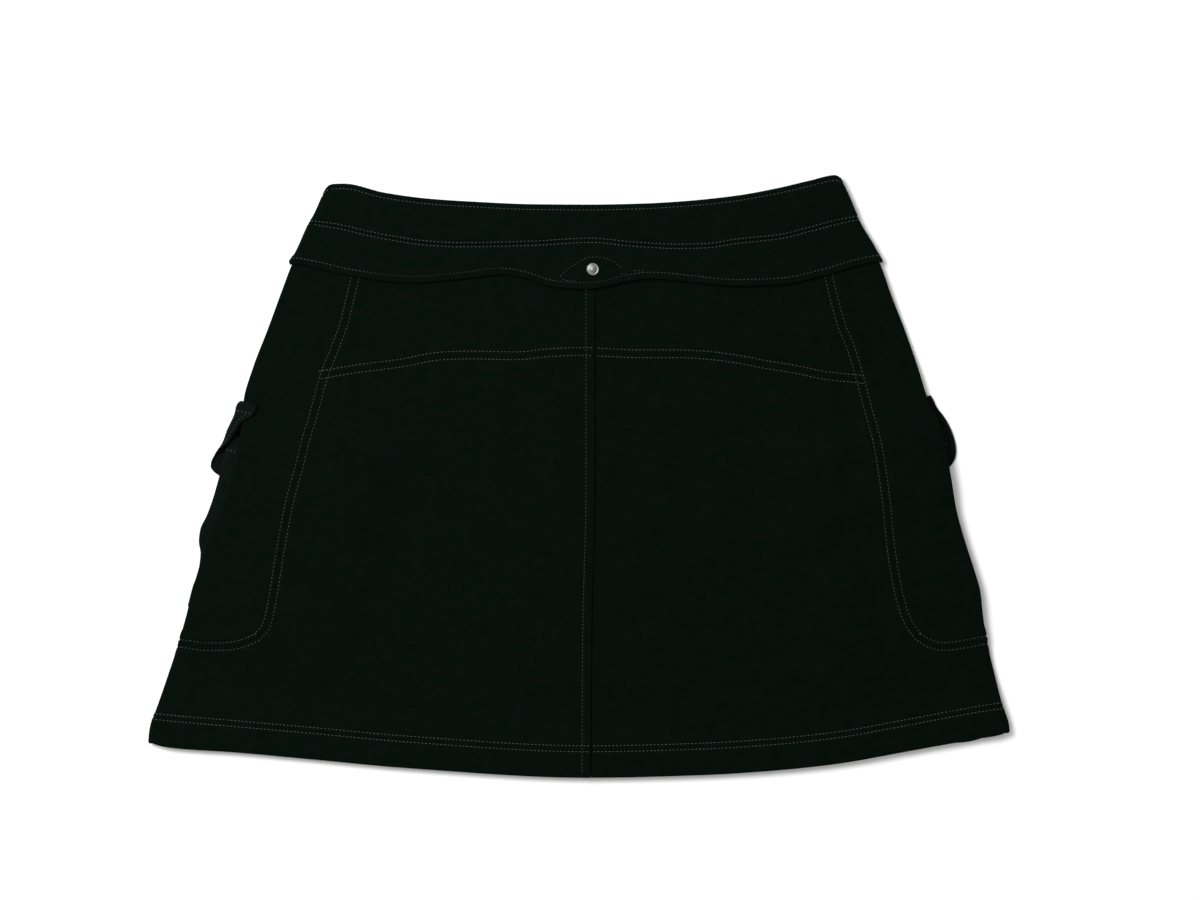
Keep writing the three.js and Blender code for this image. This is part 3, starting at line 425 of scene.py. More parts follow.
@dataclass(frozen=True)
class PocketFrame:
    """A pocket's own directions: along runs down the side, inward is square to it."""

    side: Side

    @property
    def place(self) -> tuple[float, float]:
        """Top outer corner of the flap."""
        return POCKET_PLACE[self.side]

    def along(self, x: Array, y: Array) -> Array:
        """Distance down the pocket of a plan point."""
        outward = self.side.value * math.sin(POCKET_TILT)
        return (x - self.place[0]) * outward - (y - self.place[1]) * math.cos(POCKET_TILT)

    def inward(self, x: Array, y: Array) -> Array:
        """Distance of a plan point in from the pocket's outer line."""
        across = -self.side.value * math.cos(POCKET_TILT)
        return (x - self.place[0]) * across - (y - self.place[1]) * math.sin(POCKET_TILT)

    def plan(self, along: Array, inward: Array) -> tuple[Array, Array]:
        """Plan point at a place in the pocket's frame."""
        side = self.side.value
        x = self.place[0] + along * side * math.sin(POCKET_TILT) - inward * side * math.cos(POCKET_TILT)
        y = self.place[1] - along * math.cos(POCKET_TILT) - inward * math.sin(POCKET_TILT)
        return x, y

    def lift(self, x: Array, y: Array, rise: Curve, span: tuple[float, float]) -> Array:
        """How far the pocket lifts a layer above it."""
        along = self.along(x, y)
        inside = (along >= rise.at[0]) & (along <= rise.at[-1])
        return np.where(inside, rise(along), 0.0) * (1 - smooth(*span, self.inward(x, y)))


def crease_lift(creases: Sequence[Crease], x: Array, y: Array) -> Array:
    """Lift of the cloth from soft creases.

    Args:
        creases: the creases, as runs of plan points.
        x: place across.
        y: height up the skirt.

    Returns:
        The lift at each point, in millimetres.
    """
    total = np.zeros(np.broadcast(x, y).shape)
    for crease in creases:
        nearest = np.full(total.shape, np.inf)
        place = np.zeros(total.shape)
        parts = len(crease.run) - 1
        for i, (a, b) in enumerate(zip(crease.run, crease.run[1:])):
            dx, dy = b[0] - a[0], b[1] - a[1]
            f = np.clip(((x - a[0]) * dx + (y - a[1]) * dy) / (dx * dx + dy * dy), 0, 1)
            distance = np.hypot(x - a[0] - f * dx, y - a[1] - f * dy)
            place = np.where(distance < nearest, (i + f) / parts, place)
            nearest = np.minimum(nearest, distance)
        taper = np.sin(np.pi * lerp(*CREASE_ENDS, place))
        total += crease.lift * taper * np.exp(-((nearest / crease.width) ** 2))
    return total


class HalfBody:
    """Outer face of one half of the laid body.

    A column q runs round it: 0 centre seam, 1 side seam, 2 to 3 round the side fold, 4 front seam and
    5 the middle of the front. A row t runs down it: 0 waist, 1 arched seam, 2 low seam and 3 hem.
    """

    HEIGHTS = (-232, 236)
    HEIGHT_STEP = 0.5
    COLUMN_STEP = 0.004
    SLOPE_STEP = 1e-3

    def __init__(self, side: Side) -> None:
        """Work out the fold and the four main lines once, for quick reading."""
        self.side = side
        self.sign = side.value
        self.pocket = PocketFrame(side)
        self.fold = pair_curves(SIDE_FOLDS)[side]
        self.seam = pair_curves(SIDE_SEAMS)[side]
        self._heights = np.arange(*self.HEIGHTS, self.HEIGHT_STEP)
        fold_x = self.fold(self._heights)
        self._under = self.under_height(fold_x, self._heights)
        self._radius = (self.back_height(fold_x, self._heights) - self._under) / 2
        self._columns = np.arange(0, 5 + self.COLUMN_STEP, self.COLUMN_STEP)
        self._lines = [self._line(self._columns, line) for line in range(4)]

    def under_height(self, x: Array, y: Array) -> Array:
        """Lowest face of the front layer: on the floor, on the hip band, or on a pocket."""
        over_band = LAYER * smooth(BAND_NONE, BAND_FULL, y)
        return over_band + self.pocket.lift(x, y, FRONT_RISE, FRONT_RISE_SPAN)

    def back_height(self, x: Array, y: Array) -> Array:
        """Upper face of the back layer."""
        from_fold = np.abs(self.fold(y) - x)
        band = smooth(BAND_NONE, BAND_FULL, y)
        hem = 1 - smooth(HEM_FULL, HEM_NONE, y - HEM_LINE(x))
        inner = smooth(0, FOLD_REACH, from_fold)
        open_stack = STACK - STACK_DROP_AT_FOLD * (1 - inner) * (1 - band)
        base = lerp(open_stack, STACK_AT_HEM, hem)
        lifted = STACK_OVER_POCKET + self.pocket.lift(x, y, BACK_RISE, BACK_RISE_SPAN)
        extra = np.log1p(np.exp(BLEND_SHARPNESS * (lifted - base))) / BLEND_SHARPNESS
        creases = crease_lift(CREASES + FINE_CREASES, x, y)
        return base + extra + creases * inner * (1 - band) * (1 - hem)

    def fold_round(self, y: Array) -> tuple[Array, Array, Array]:
        """Place, lowest height and radius of the side fold at a height up the skirt."""
        under = np.interp(y, self._heights, self._under)
        return self.fold(y), under, np.interp(y, self._heights, self._radius)

    def column_x(self, q: Array, y: Array) -> Array:
        """Place across of a column at a height up the skirt."""
        fold_x, _, radius = self.fold_round(y)
        start = fold_x - self.sign * radius
        seam = self.seam(y)
        front_seam = fold_x - self.sign * FRONT_SEAM_INSET(y)
        centre = CENTRE_LINE(y)
        choices = [lerp(centre, seam, q), lerp(seam, start, q - 1), start, lerp(start, front_seam, q - 3)]
        return np.select([q <= 1, q <= 2, q <= 3, q <= 4], choices, lerp(front_seam, centre, q - 4))

    def _line(self, q: Array, line: int) -> Array:
        """Height up the skirt of one of the four main lines, at each column."""
        if line == 2:
            return LOW_SEAM(self.sign * np.where(q <= 2, q, np.minimum(2, 5 - q)))
        run, start = {
            0: (lambda x: WAIST_SEAM(x) - WAIST_WALL, 180.0), 1: (ARCHED_SEAM, 80.0), 3: (HEM_LINE, -205.0),
        }[line]
        y = np.full(q.shape, start)
        for _ in range(SEARCH_ROUNDS):
            x = self.column_x(q, y)
            y = run(x)
            if line == 0:
                y = y - np.where(q > 3, FRONT_WAIST_DIP * np.minimum(1, q - 3), 0)
            if line == 3:
                y = y + np.where(q > 3, FRONT_HEM_SHIFT(x), 0)
        return y

    def point(self, q: Array, t: Array) -> Array:
        """Points of the outer face.

        Args:
            q: columns.
            t: rows.

        Returns:
            Points, with x, y and z in the last axis.
        """
        q, t = np.broadcast_arrays(np.asarray(q, float), np.asarray(t, float))
        row = np.clip(np.floor(t), 0, 2).astype(int)
        lines = np.stack([np.interp(q, self._columns, line) for line in self._lines])
        upper = np.take_along_axis(lines, row[None], 0)[0]
        lower = np.take_along_axis(lines, row[None] + 1, 0)[0]
        y = lerp(upper, lower, t - row)
        fold_x, under, radius = self.fold_round(y)
        angle = (np.clip(q, 2, 3) - 2) * np.pi
        turning = (q > 2) & (q < 3)
        x = self.column_x(q, y)
        x = np.where(turning, fold_x - self.sign * radius * (1 - np.sin(angle)), x)
        z = np.where(q <= 2, self.back_height(x, y), self.under_height(x, y))
        z = np.where(turning, under + radius * (1 + np.cos(angle)), z)
        return np.stack([x, y, z], axis=-1)

    def hem_row(self, q: Array, distance: float) -> Array:
        """Rows at which a line above the hem crosses columns.

        Args:
            q: columns.
            distance: how far above the hem's row line it runs, in millimetres.

        Returns:
            The rows.
        """
        low, hem = (np.interp(q, self._columns, self._lines[line]) for line in (2, 3))
        y = hem + distance
        for _ in range(SEARCH_ROUNDS):
            y = HEM_ROW_LINE(self.column_x(q, y)) + distance
        return 2 + (y - low) / (hem - low)

    def slopes(self, q: Array, t: Array) -> tuple[Array, Array]:
        """How the face moves for each column and each row, in millimetres."""
        step = self.SLOPE_STEP
        round_it = (self.point(q + step, t) - self.point(q - step, t)) / (2 * step)
        down = (self.point(q, t + step) - self.point(q, t - step)) / (2 * step)
        return round_it, down

    def normal(self, q: Array, t: Array) -> Array:
        """Direction out of the face."""
        round_it, down = self.slopes(q, t)
        return unit(np.cross(round_it, down)) * -self.sign


# Grid spacing beside a seam line, a felled seam, a folded edge, a free edge and the hem, and elsewhere
NEAR_SEAM = (0.04, 0.28, 0.6, 1.0, 1.6, 2.2, 2.9, 3.6, 4.5, 5.8, 7.4)
NEAR_FELL = (0.04, 0.3, 0.7, 1.2, 2.0, 3.0, 4.0, 4.8, 5.4, 6.0, 6.6, 7.2, 7.9, 9.0)
NEAR_FOLD = (0.02, 0.12, 0.3, 0.55, 0.9, 1.3, 1.8, 2.4, 3.0, 3.6, 4.1, 4.6, 5.3, 6.2, 7.4)
NEAR_FREE = (0.1, 0.25, 0.5, 0.9, 1.5, 2.2, 3.0, 3.7, 4.3, 4.8, 5.3, 5.9, 6.8, 8.0)
NEAR_HEM_ROWS = (16.6, 17.9, 18.8, 19.6, 20.4, 21.2, 22.1, 23.2, 24.0, 24.8, 25.7, 27.0)
OPEN_STEP = 2.6


def stops(
    start: float,
    end: float,
    length: float,
    first: Sequence[float] = NEAR_SEAM,
    last: Sequence[float] = NEAR_SEAM,
) -> Array:
    """Grid lines between two places, closer near seams.

    Args:
        start: first place.
        end: last place.
        length: usual distance between the two, in millimetres.
        first: distances of the close lines from the start, or none.
        last: distances of the close lines from the end, or none.

    Returns:
        The places, in order.
    """
    low = [d / length for d in first] or [0.0]
    high = [1 - d / length for d in reversed(last)] or [1.0]
    count = max(2, round((high[0] - low[-1]) * length / OPEN_STEP))
    middle = np.linspace(low[-1], high[0], count + 1)[1:-1]
    return lerp(start, end, np.array([*low, *middle, *high]))


def with_close_lines(places: Array, close: Sequence[float]) -> Array:
    """The places, with those in the reach of the close lines replaced by them."""
    low, high = min(close), max(close)
    spare = 0.4 * np.median(np.diff(places))
    kept = places[(places < low - spare) | (places > high + spare)]
    return np.sort(np.concatenate([kept, close]))


def resting(normal: Array) -> Array:
    """How far the cloth rests on its outer face, from 0 to 1, by the direction out of it."""
    return smooth(0.2, 0.7, -normal[..., 2])


def not_raised_where_resting(relief: Array, normal: Array) -> Array:
    """Relief that only sinks where the cloth rests on its outer face."""
    return lerp(relief, np.minimum(relief, 0), resting(normal))


def rolled(distance: Array, radius: float = EDGE_ROLL) -> Array:
    """How far a cut edge is rounded off, by the distance from the edge."""
    inside = np.clip(radius - distance, 0, STEEPEST_ROLL * radius)
    return radius - np.sqrt(radius**2 - inside**2)


# How far from a line its relief goes
SEAM_REACH, HEM_REACH, FLAP_REACH = 32.0, 40.0, 3.0


class SeamLine:
    """Line along the outer face, with the relief that sewing gives the cloth beside it."""

    MARK_STEP = 0.5

    def __init__(self, points: Array, relief: Relief, edge: bool = True, reach: float = SEAM_REACH) -> None:
        """Mark the line closely, for finding the nearest mark.

        Args:
            points: points along the line.
            relief: relief by the distance from the line, the place along it and how far the cloth rests.
            edge: whether cut edges meet in the line.
            reach: how far from the line its relief goes.
        """
        self.relief, self.edge = relief, edge
        run = run_along(points)
        self.marks = np.arange(0, run[-1], self.MARK_STEP)
        dense = read_along(self.marks, run, points)
        self.low, self.high = dense.min(axis=0) - reach, dense.max(axis=0) + reach
        self.tree = KDTree(len(dense))
        for i, place in enumerate(dense):
            self.tree.insert(place, i)
        self.tree.balance()

    def measure(self, places: Array) -> tuple[Array, Array]:
        """Distance of each place from the line, and how far along the line it is."""
        flat = places.reshape(-1, 3)
        near = np.all((flat > self.low) & (flat < self.high), axis=1)
        distance = np.full(len(flat), FAR)
        along = np.zeros(len(flat))
        for i in np.flatnonzero(near):
            _, index, distance[i] = self.tree.find(flat[i])
            along[i] = self.marks[index]
        return distance.reshape(places.shape[:-1]), along.reshape(places.shape[:-1])


def pucker(along: Array, pitch: float) -> Array:
    """Uneven little waves along a seam, from -1 to 1."""
    return np.sin(2 * np.pi * along / pitch + 1.9 * np.sin(2 * np.pi * along / (4.7 * pitch)))


class Groove(NamedTuple):
    """Groove of a row of stitches: its depth, how far from the seam or edge it lies, and its width."""

    depth: float
    place: float
    width: float

    def sink(self, distance: Array) -> Array:
        """How deep the cloth sinks, by the distance from the seam or edge."""
        return self.depth * bell(distance, self.place, self.width)


class Waves(NamedTuple):
    """Little waves along a row: their height and pitch, where they are strongest, and their start."""

    height: float
    pitch: float
    place: float
    width: float
    start: float = 0.0

    def lift(self, distance: Array, along: Array) -> Array:
        """Lift of the cloth, by the distance from the seam or edge and the place along it."""
        return self.height * pucker(along + self.start, self.pitch) * bell(distance, self.place, self.width)


SEAM_GROOVE, SEAM_WAVES = Groove(0.34, ROW_OFFSET, 0.85), Waves(0.13, 8.3, 3.4, 4.0)
FELL_GROOVE, FELL_WAVES = Groove(0.3, FELL_ROW, 0.9), Waves(0.14, 9.1, 5.0, 4.5)
BUTTED_DIP, BUTTED_WAVES = Groove(0.14, 0.0, 1.2), Waves(0.08, 9.1, 3.0, 3.5)
HEM_GROOVES = [Groove(0.3, row, 0.8) for row in HEM_ROWS]
WAIST_TOP_GROOVE, WAIST_TOP_WAVES = Groove(0.36, WAIST_TOP_ROW, 0.8), Waves(0.12, 8.7, 3.2, 3.6)
WAIST_LOW_WAVES = Waves(0.12, 9.4, 2.4, 3.0, 21.0)
TWIN_GROOVE = Groove(0.36, TWIN_ROW, 0.75)
HIP_EDGE_GROOVE, HIP_EDGE_WAVES = Groove(0.34, HIP_EDGE_ROW, 0.85), Waves(0.13, 9.9, 3.2, 4.0)
HIP_TOP_WAVES = Waves(0.12, 8.9, 2.4, 3.0, 13.0)


def open_seam_relief(distance: Array, along: Array, rests: Array) -> Array:
    """Relief beside a topstitched seam: padded by its allowance, unless it rests, with the row sunk in."""
    pad = 0.3 * (1 - smooth(7.0, 11.0, distance)) + 0.12 * bell(distance, 1.4, 0.9)
    return pad * (1 - rests) - SEAM_GROOVE.sink(distance) + SEAM_WAVES.lift(distance, along)


def fell_relief(distance: Array, along: Array, rests: Array) -> Array:
    """Relief of the felled centre seam on the side that it lies on."""
    ridge = FELL_LIFT * (1 - smooth(FELL_WIDTH - 1.1, FELL_WIDTH + 0.9, distance))
    return ridge * (1 - rests) - FELL_GROOVE.sink(distance) + FELL_WAVES.lift(distance, along)


def butted_relief(distance: Array, along: Array, rests: Array) -> Array:
    """Relief on the other side of the felled seam, which dips under the ridge's edge."""
    return BUTTED_WAVES.lift(distance, along) - BUTTED_DIP.sink(distance) * (1 - rests)


def hem_relief(distance: Array, along: Array, rests: Array) -> Array:
    """Relief of the turned hem: two rows of stitching, and the cloth roping a little below them."""
    rows = sum(groove.sink(distance) for groove in HEM_GROOVES)
    allowance = 0.25 * (1 - smooth(24.7, 27.3, distance)) * (1 - rests)
    inside = smooth(1.5, 6.0, distance) * (1 - smooth(17.0, 26.0, distance))
    roping = 0.16 * pucker(along + 0.55 * distance, 10.7) * inside
    return allowance - rows + roping


def waist_relief(low: Array, high: Array, along: Array) -> Array:
    """Relief of the waistband, by the distance from its lower and upper edge."""
    rows = WAIST_TOP_GROOVE.sink(high) + TWIN_GROOVE.sink(low)
    crown = 0.3 * np.sin(np.pi * np.clip(low / np.maximum(low + high, TINY), 0, 1))
    return crown - rows + (WAIST_TOP_WAVES.lift(high, along) + WAIST_LOW_WAVES.lift(low, along))


def hip_relief(low: Array, high: Array, along: Array) -> Array:
    """Relief of the hip band, padded along its turned lower edge."""
    rows = HIP_EDGE_GROOVE.sink(low) + TWIN_GROOVE.sink(high)
    pad = 0.28 * (1 - smooth(5.2, 8.0, low))
    return pad - rows + (HIP_EDGE_WAVES.lift(low, along) + HIP_TOP_WAVES.lift(high, along))


@dataclass
class ClothWall:
    """Closed wall of cloth over a grid of pairs of points, one on each face."""

    face: Array
    back: Array
    filled: Array | None = None
    cloth_map: Array | None = None
    ring: bool = False

    def __post_init__(self) -> None:
        """Fill every cell, and map the cloth from its outer face, where nothing else is given."""
        if self.filled is None:
            self.filled = np.ones((self.face.shape[0] - 1, self.face.shape[1] - 1), bool)
        if self.cloth_map is None:
            self.cloth_map = grid_map(self.face)

    def _rims(self) -> tuple[Array, Array, Array, Array]:
        """Grid places of the wall's open edges, each from a first to a second point."""
        columns, rows = self.face.shape[:2]
        padded = np.zeros((columns + 1, rows + 1), bool)
        padded[1:-1, 1:-1] = self.filled
        if self.ring:
            padded[0, 1:-1], padded[-1, 1:-1] = self.filled[-1], self.filled[0]
        above, below = padded[1:-1, :-1], padded[1:-1, 1:]
        before, after = padded[:-1, 1:-1], padded[1:, 1:-1]
        first, second = [], []
        for (i, j), (over, down), swap in (
            (np.nonzero(below & ~above), (1, 0), False),
            (np.nonzero(above & ~below), (1, 0), True),
            (np.nonzero(before & ~after), (0, 1), False),
            (np.nonzero(after & ~before), (0, 1), True),
        ):
            ends = [(i, j), (i + over, j + down)]
            first.append(ends[swap])
            second.append(ends[not swap])
        joined = [np.concatenate([ends[k] for ends in group]) for group in (first, second) for k in (0, 1)]
        return joined[0], joined[1], joined[2], joined[3]

    def build(self, name: str) -> bpy.types.Object:
        """Make the wall's mesh.

        Args:
            name: the piece's name.

        Returns:
            The new object, with its place in its mesh and a cloth map in metres.
        """
        columns, rows = self.face.shape[:2]
        index = np.arange(columns * rows).reshape(columns, rows)
        if self.ring:
            index[-1] = index[0]
        i, j = np.nonzero(self.filled)
        corners = [(i, j), (i + 1, j), (i + 1, j + 1), (i, j + 1)]
        i1, j1, i2, j2 = self._rims()
        count = columns * rows
        outer = np.stack([index[c] for c in corners], axis=1)
        inner = outer[:, ::-1] + count
        rim_start, rim_end = index[i1, j1], index[i2, j2]
        rim = np.stack([rim_start, rim_start + count, rim_end + count, rim_end], axis=1)
        quads = np.concatenate([outer, inner, rim])
        outer_map = np.stack([self.cloth_map[c] for c in corners], axis=1)
        rim_map = np.stack([self.cloth_map[p] for p in ((i1, j1), (i1, j1), (i2, j2), (i2, j2))], axis=1)
        maps = np.concatenate([outer_map, outer_map[:, ::-1], rim_map])
        points = np.concatenate([self.face.reshape(-1, 3), self.back.reshape(-1, 3)])
        a, b, c, d = (points[quads[:, k]] for k in range(4))
        volume = np.sum(a * (np.cross(b, c) + np.cross(c, d))) / 6
        if volume < 0:
            quads, maps = quads[:, ::-1], maps[:, ::-1]
        return mesh_object(name, points, quads, maps)


def mesh_object(name: str, points: Array, quads: Array, maps: Array | None = None) -> bpy.types.Object:
    """Object from points in millimetres and four-sided faces.

    Args:
        name: the object's name.
        points: corner points.
        quads: four point numbers for each face.
        maps: the cloth map's value at each corner of each face, in millimetres.

    Returns:
        The new object, smooth shaded, with no unused points.
    """
    used, numbers = np.unique(quads, return_inverse=True)
    numbers = numbers.reshape(quads.shape)
    mesh = bpy.data.meshes.new(name)
    mesh.vertices.add(len(used))
    mesh.vertices.foreach_set("co", (points[used] * MM).ravel())
    mesh.loops.add(numbers.size)
    mesh.loops.foreach_set("vertex_index", numbers.ravel())
    mesh.polygons.add(len(numbers))
    mesh.polygons.foreach_set("loop_start", np.arange(len(numbers)) * 4)
    mesh.polygons.foreach_set("use_smooth", np.ones(len(numbers), bool))
    if maps is not None:
        layer = mesh.uv_layers.new(name="cloth")
        layer.data.foreach_set("uv", (maps * MM).ravel())
    mesh.update(calc_edges=True)
    mesh.validate()
    piece = bpy.data.objects.new(name, mesh)
    bpy.context.scene.collection.objects.link(piece)
    return piece


def grid_map(face: Array) -> Array:
    """Place of each grid point on the flat cloth: distance round from the first column, and down."""
    across = np.linalg.norm(np.diff(face, axis=0), axis=2)
    down = np.linalg.norm(np.diff(face, axis=1), axis=2)
    u = np.concatenate([np.zeros((1, face.shape[1])), np.cumsum(across, axis=0)])
    v = np.concatenate([np.zeros((face.shape[0], 1)), np.cumsum(down, axis=1)], axis=1)
    return np.stack([u, v], axis=-1)


@dataclass(frozen=True)
class Row:
    """Row of a body panel: its place, and where its two faces lie when the edge is turned."""

    t: float
    face: float = 0.0
    back: float = CLOTH
    face_out: float = 0.0
    back_out: float = 0.0


def turned() -> list[tuple[float, float, float, float]]:
    """Depths of the outer and inner face round a turned edge, and how far each bulges."""
    turns = []
    for angle in np.linspace(0, np.pi, TURN_STEPS + 1):
        face, back = TURN_OUTER * (1 - math.cos(angle)), TURN_OUTER - TURN_INNER * math.cos(angle)
        turns.append((face, back, TURN_OUTER * math.sin(angle), TURN_INNER * math.sin(angle)))
    return turns


def hem_rows() -> list[Row]:
    """Rows that turn the hem up inside, from the last plain row on."""
    rows = [Row(3 - TURN_OUTER / LOWER_DEPTH, *turn) for turn in turned()]
    parts = (0.25, 0.5, 0.75, 1.0)
    return rows + [Row(3 - HEM_ALLOWANCE * part / LOWER_DEPTH, *FOLDED) for part in parts]


def plain_rows(places: Array) -> list[Row]:
    """Rows of flat cloth."""
    return [Row(float(t)) for t in places]


@dataclass(frozen=True)
class ClothCut:
    """Flat size that a sheet was cut to, in metres and square metres, and what it rests on."""

    width: float
    length: float
    area: float
    rests_on: tuple[str, ...]


class Workshop:
    """Takes each finished piece, dresses it and ties it to the frame."""

    def __init__(self) -> None:
        """Start with no pieces."""
        self.count = 0

    def finish(
        self, piece: bpy.types.Object, material: bpy.types.Material, slot: Slot, nodes: Sequence[str] = ()
    ) -> None:
        """Dress a piece and tie it to the body.

        Args:
            piece: the finished object.
            material: its material.
            slot: the record's finish for it.
            nodes: the solid nodes that it stands for.
        """
        piece.data.materials.clear()
        piece.data.materials.append(material)
        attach(piece, BODY)
        if nodes:
            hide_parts(*nodes)
        self.count += 1
        log.info("%s: %d faces, finish %s", piece.name, len(piece.data.polygons), slot.value)

    def finish_cloth(self, piece: bpy.types.Object, cloth: bpy.types.Material) -> None:
        """Dress a cloth piece, which stands for the node of its name."""
        node = piece.name.removeprefix("skirt_")
        self.finish(piece, cloth, Slot.CLOTH, [node])


class BodyPanels:
    """The cut panels of the body: two yokes, two back panels, two side panels and the front."""

    # Usual distance across each kind of column and down each kind of row
    COLUMN_LENGTH = {"back": 210.0, "side": 44.0, "front_side": 110.0, "front": 130.0}
    ROW_LENGTH = {"yoke": 92.0, "panel": 220.0}
    FOLD_STEPS = 10
    # Relief of each seam line, and where it runs
    SEAM_LINES = {
        "fell": (fell_relief, [Stretch((0, 0), (0, 3), 700)]),
        "butted": (butted_relief, [Stretch((0, 0), (0, 3), 700)]),
        "arched": (open_seam_relief, [Stretch((0, 1), (1, 1), 300)]),
        "side": (
            open_seam_relief, [Stretch((1, 1), (0, 2), 500), Stretch((1, LOWER_SIDE_SEAM), (2, 2), 260)],
        ),
        "front": (open_seam_relief, [Stretch((4, 4), (0, 2), 500), Stretch((4, 1), (2, 2), 300)]),
        "lower_side": (open_seam_relief, [Stretch((LOWER_SIDE_SEAM, LOWER_SIDE_SEAM), (2, 3), 200)]),
        "hem": (hem_relief, [Stretch((0, 5), (3, 3), 900)]),
    }

    def __init__(self) -> None:
        """Work out both halves of the laid body and their seam lines."""
        self.halves = {side: HalfBody(side) for side in Side}
        self.lines = {side: self.seam_lines(side) for side in Side}

    def seam_lines(self, side: Side) -> dict[str, SeamLine]:
        """Seam lines of one half, by name."""
        lines = {}
        for name, (relief, line) in self.SEAM_LINES.items():
            points = self.halves[side].point(*through(line))
            is_hem = name == "hem"
            lines[name] = SeamLine(points, relief, not is_hem, HEM_REACH if is_hem else SEAM_REACH)
        return lines

    @staticmethod
    def inner_seam(side: Side) -> str:
        """Name of the centre seam's line, as a half meets it."""
        return "fell" if side is Side.LEFT else "butted"

    def seams_of(self, side: Side, piece: str) -> tuple[str, ...]:
        """Names of the seam lines beside a kind of panel."""
        return {
            "yoke": (self.inner_seam(side), "arched", "side"),
            "back": (self.inner_seam(side), "arched", "side", "lower_side", "hem"),
            "side": ("side", "front"),
            "front": ("front", "lower_side", "hem"),
        }[piece]

    def relief(self, side: Side, piece: str, base: Array, normal: Array) -> tuple[Array, Array]:
        """Relief that the seams give a panel.

        Args:
            side: the half that it lies in.
            piece: the kind of panel.
            base: points of the plain outer face.
            normal: directions out of the face there.

        Returns:
            The relief, which only sinks where the cloth rests on its outer face, and the distance to the
            nearest cut edge.
        """
        rests = resting(normal)
        total, nearest = np.zeros(base.shape[:-1]), np.full(base.shape[:-1], FAR)
        for name in self.seams_of(side, piece):
            seam = self.lines[side][name]
            distance, along = seam.measure(base)
            total += seam.relief(distance, along, rests)
            if seam.edge:
                nearest = np.minimum(nearest, distance)
        total = not_raised_where_resting(total, normal)
        return total * (1 - smooth(-3.0, 2.0, base[..., 1] - BAND_EDGE(base[..., 0]))), nearest

    def lift(self, side: Side, q: Array, t: Array, base: Array, normal: Array) -> Array:
        """Relief at places anywhere on a half, each read from the panel that covers it."""
        on_yoke, on_side = (q < 1) & (t < 1), (q < 4) & (t < 2)
        on_back = (q < 1) | ((t > 2) & (q < LOWER_SIDE_SEAM))
        kinds = np.select([on_yoke, on_back, on_side], [0, 1, 2], 3)
        total = np.zeros(len(q))
        for kind, piece in enumerate(("yoke", "back", "side", "front")):
            chosen = kinds == kind
            if np.any(chosen):
                total[chosen] = self.relief(side, piece, base[chosen], normal[chosen])[0]
        return total

    def sheet_grid(self, side: Side, columns: Array, rows: Sequence[Row], piece: str) -> tuple[Array, Array]:
        """Both faces of a panel's grid.

        Args:
            side: the half that it lies in.
            columns: the grid's columns.
            rows: its rows.
            piece: the kind of panel.

        Returns:
            Points of the outer and the inner face, as columns by rows.
        """
        half = self.halves[side]
        q = np.asarray(columns)[:, None]
        t = np.array([row.t for row in rows])[None, :]
        q, t = np.broadcast_arrays(q, t)
        base, normal = half.point(q, t), half.normal(q, t)
        _, down = half.slopes(q, t)
        down = unit(down)
        face_depth, back_depth, face_out, back_out = (
            np.array([getattr(row, key) for row in rows])[None, :, None]
            for key in ("face", "back", "face_out", "back_out")
        )
        relief, nearest = self.relief(side, piece, base, normal)
        plain = (face_depth == 0)[..., 0] | (face_out > 0)[..., 0]
        relief, roll = (relief * plain)[..., None], rolled(nearest + SEAM_HIDES)[..., None]
        face = base + normal * (relief - face_depth - roll) + down * face_out
        back = base - normal * (back_depth - roll) + down * back_out
        return face, back

    def panel(
        self,
        name: str,
        side: Side,
        columns: Array,
        rows: Sequence[Row],
        piece: str,
        filled: Array | None = None,
    ) -> bpy.types.Object:
        """Build one panel of a half.

        Args:
            name: the piece's name.
            side: the half that it lies in.
            columns: the grid's columns.
            rows: its rows.
            piece: the kind of panel.
            filled: cells of the grid that the panel fills, or None for all.

        Returns:
            The panel.
        """
        return ClothWall(*self.sheet_grid(side, columns, rows, piece), filled).build(name)

    def lower_rows(self) -> list[Row]:
        """Rows below the low seam, down to the hem and up inside it."""
        turn = 3 - TURN_OUTER / LOWER_DEPTH
        places = stops(2, turn, LOWER_DEPTH - TURN_OUTER, NEAR_SEAM, ())[:-1]
        close = [3 - d / LOWER_DEPTH for d in reversed(NEAR_HEM_ROWS)]
        return plain_rows(with_close_lines(places, close)) + hem_rows()

    def fold_columns(self) -> Array:
        """Columns round the side fold, without its first and last."""
        return np.linspace(2, 3, self.FOLD_STEPS + 1)[1:-1]

    def yoke(self, side: Side) -> bpy.types.Object:
        """Back yoke, from the hip band down to the arched seam."""
        columns = self.back_columns(side)
        rows = plain_rows(stops(0, 1, self.ROW_LENGTH["yoke"], (), NEAR_SEAM))
        return self.panel(f"skirt_yoke_back_{side.word}", side, columns, rows, "yoke")

    def back_columns(self, side: Side) -> Array:
        """Columns from the centre seam to the side seam."""
        first = NEAR_FELL if side is Side.LEFT else NEAR_SEAM
        return stops(0, 1, self.COLUMN_LENGTH["back"], first, NEAR_SEAM)

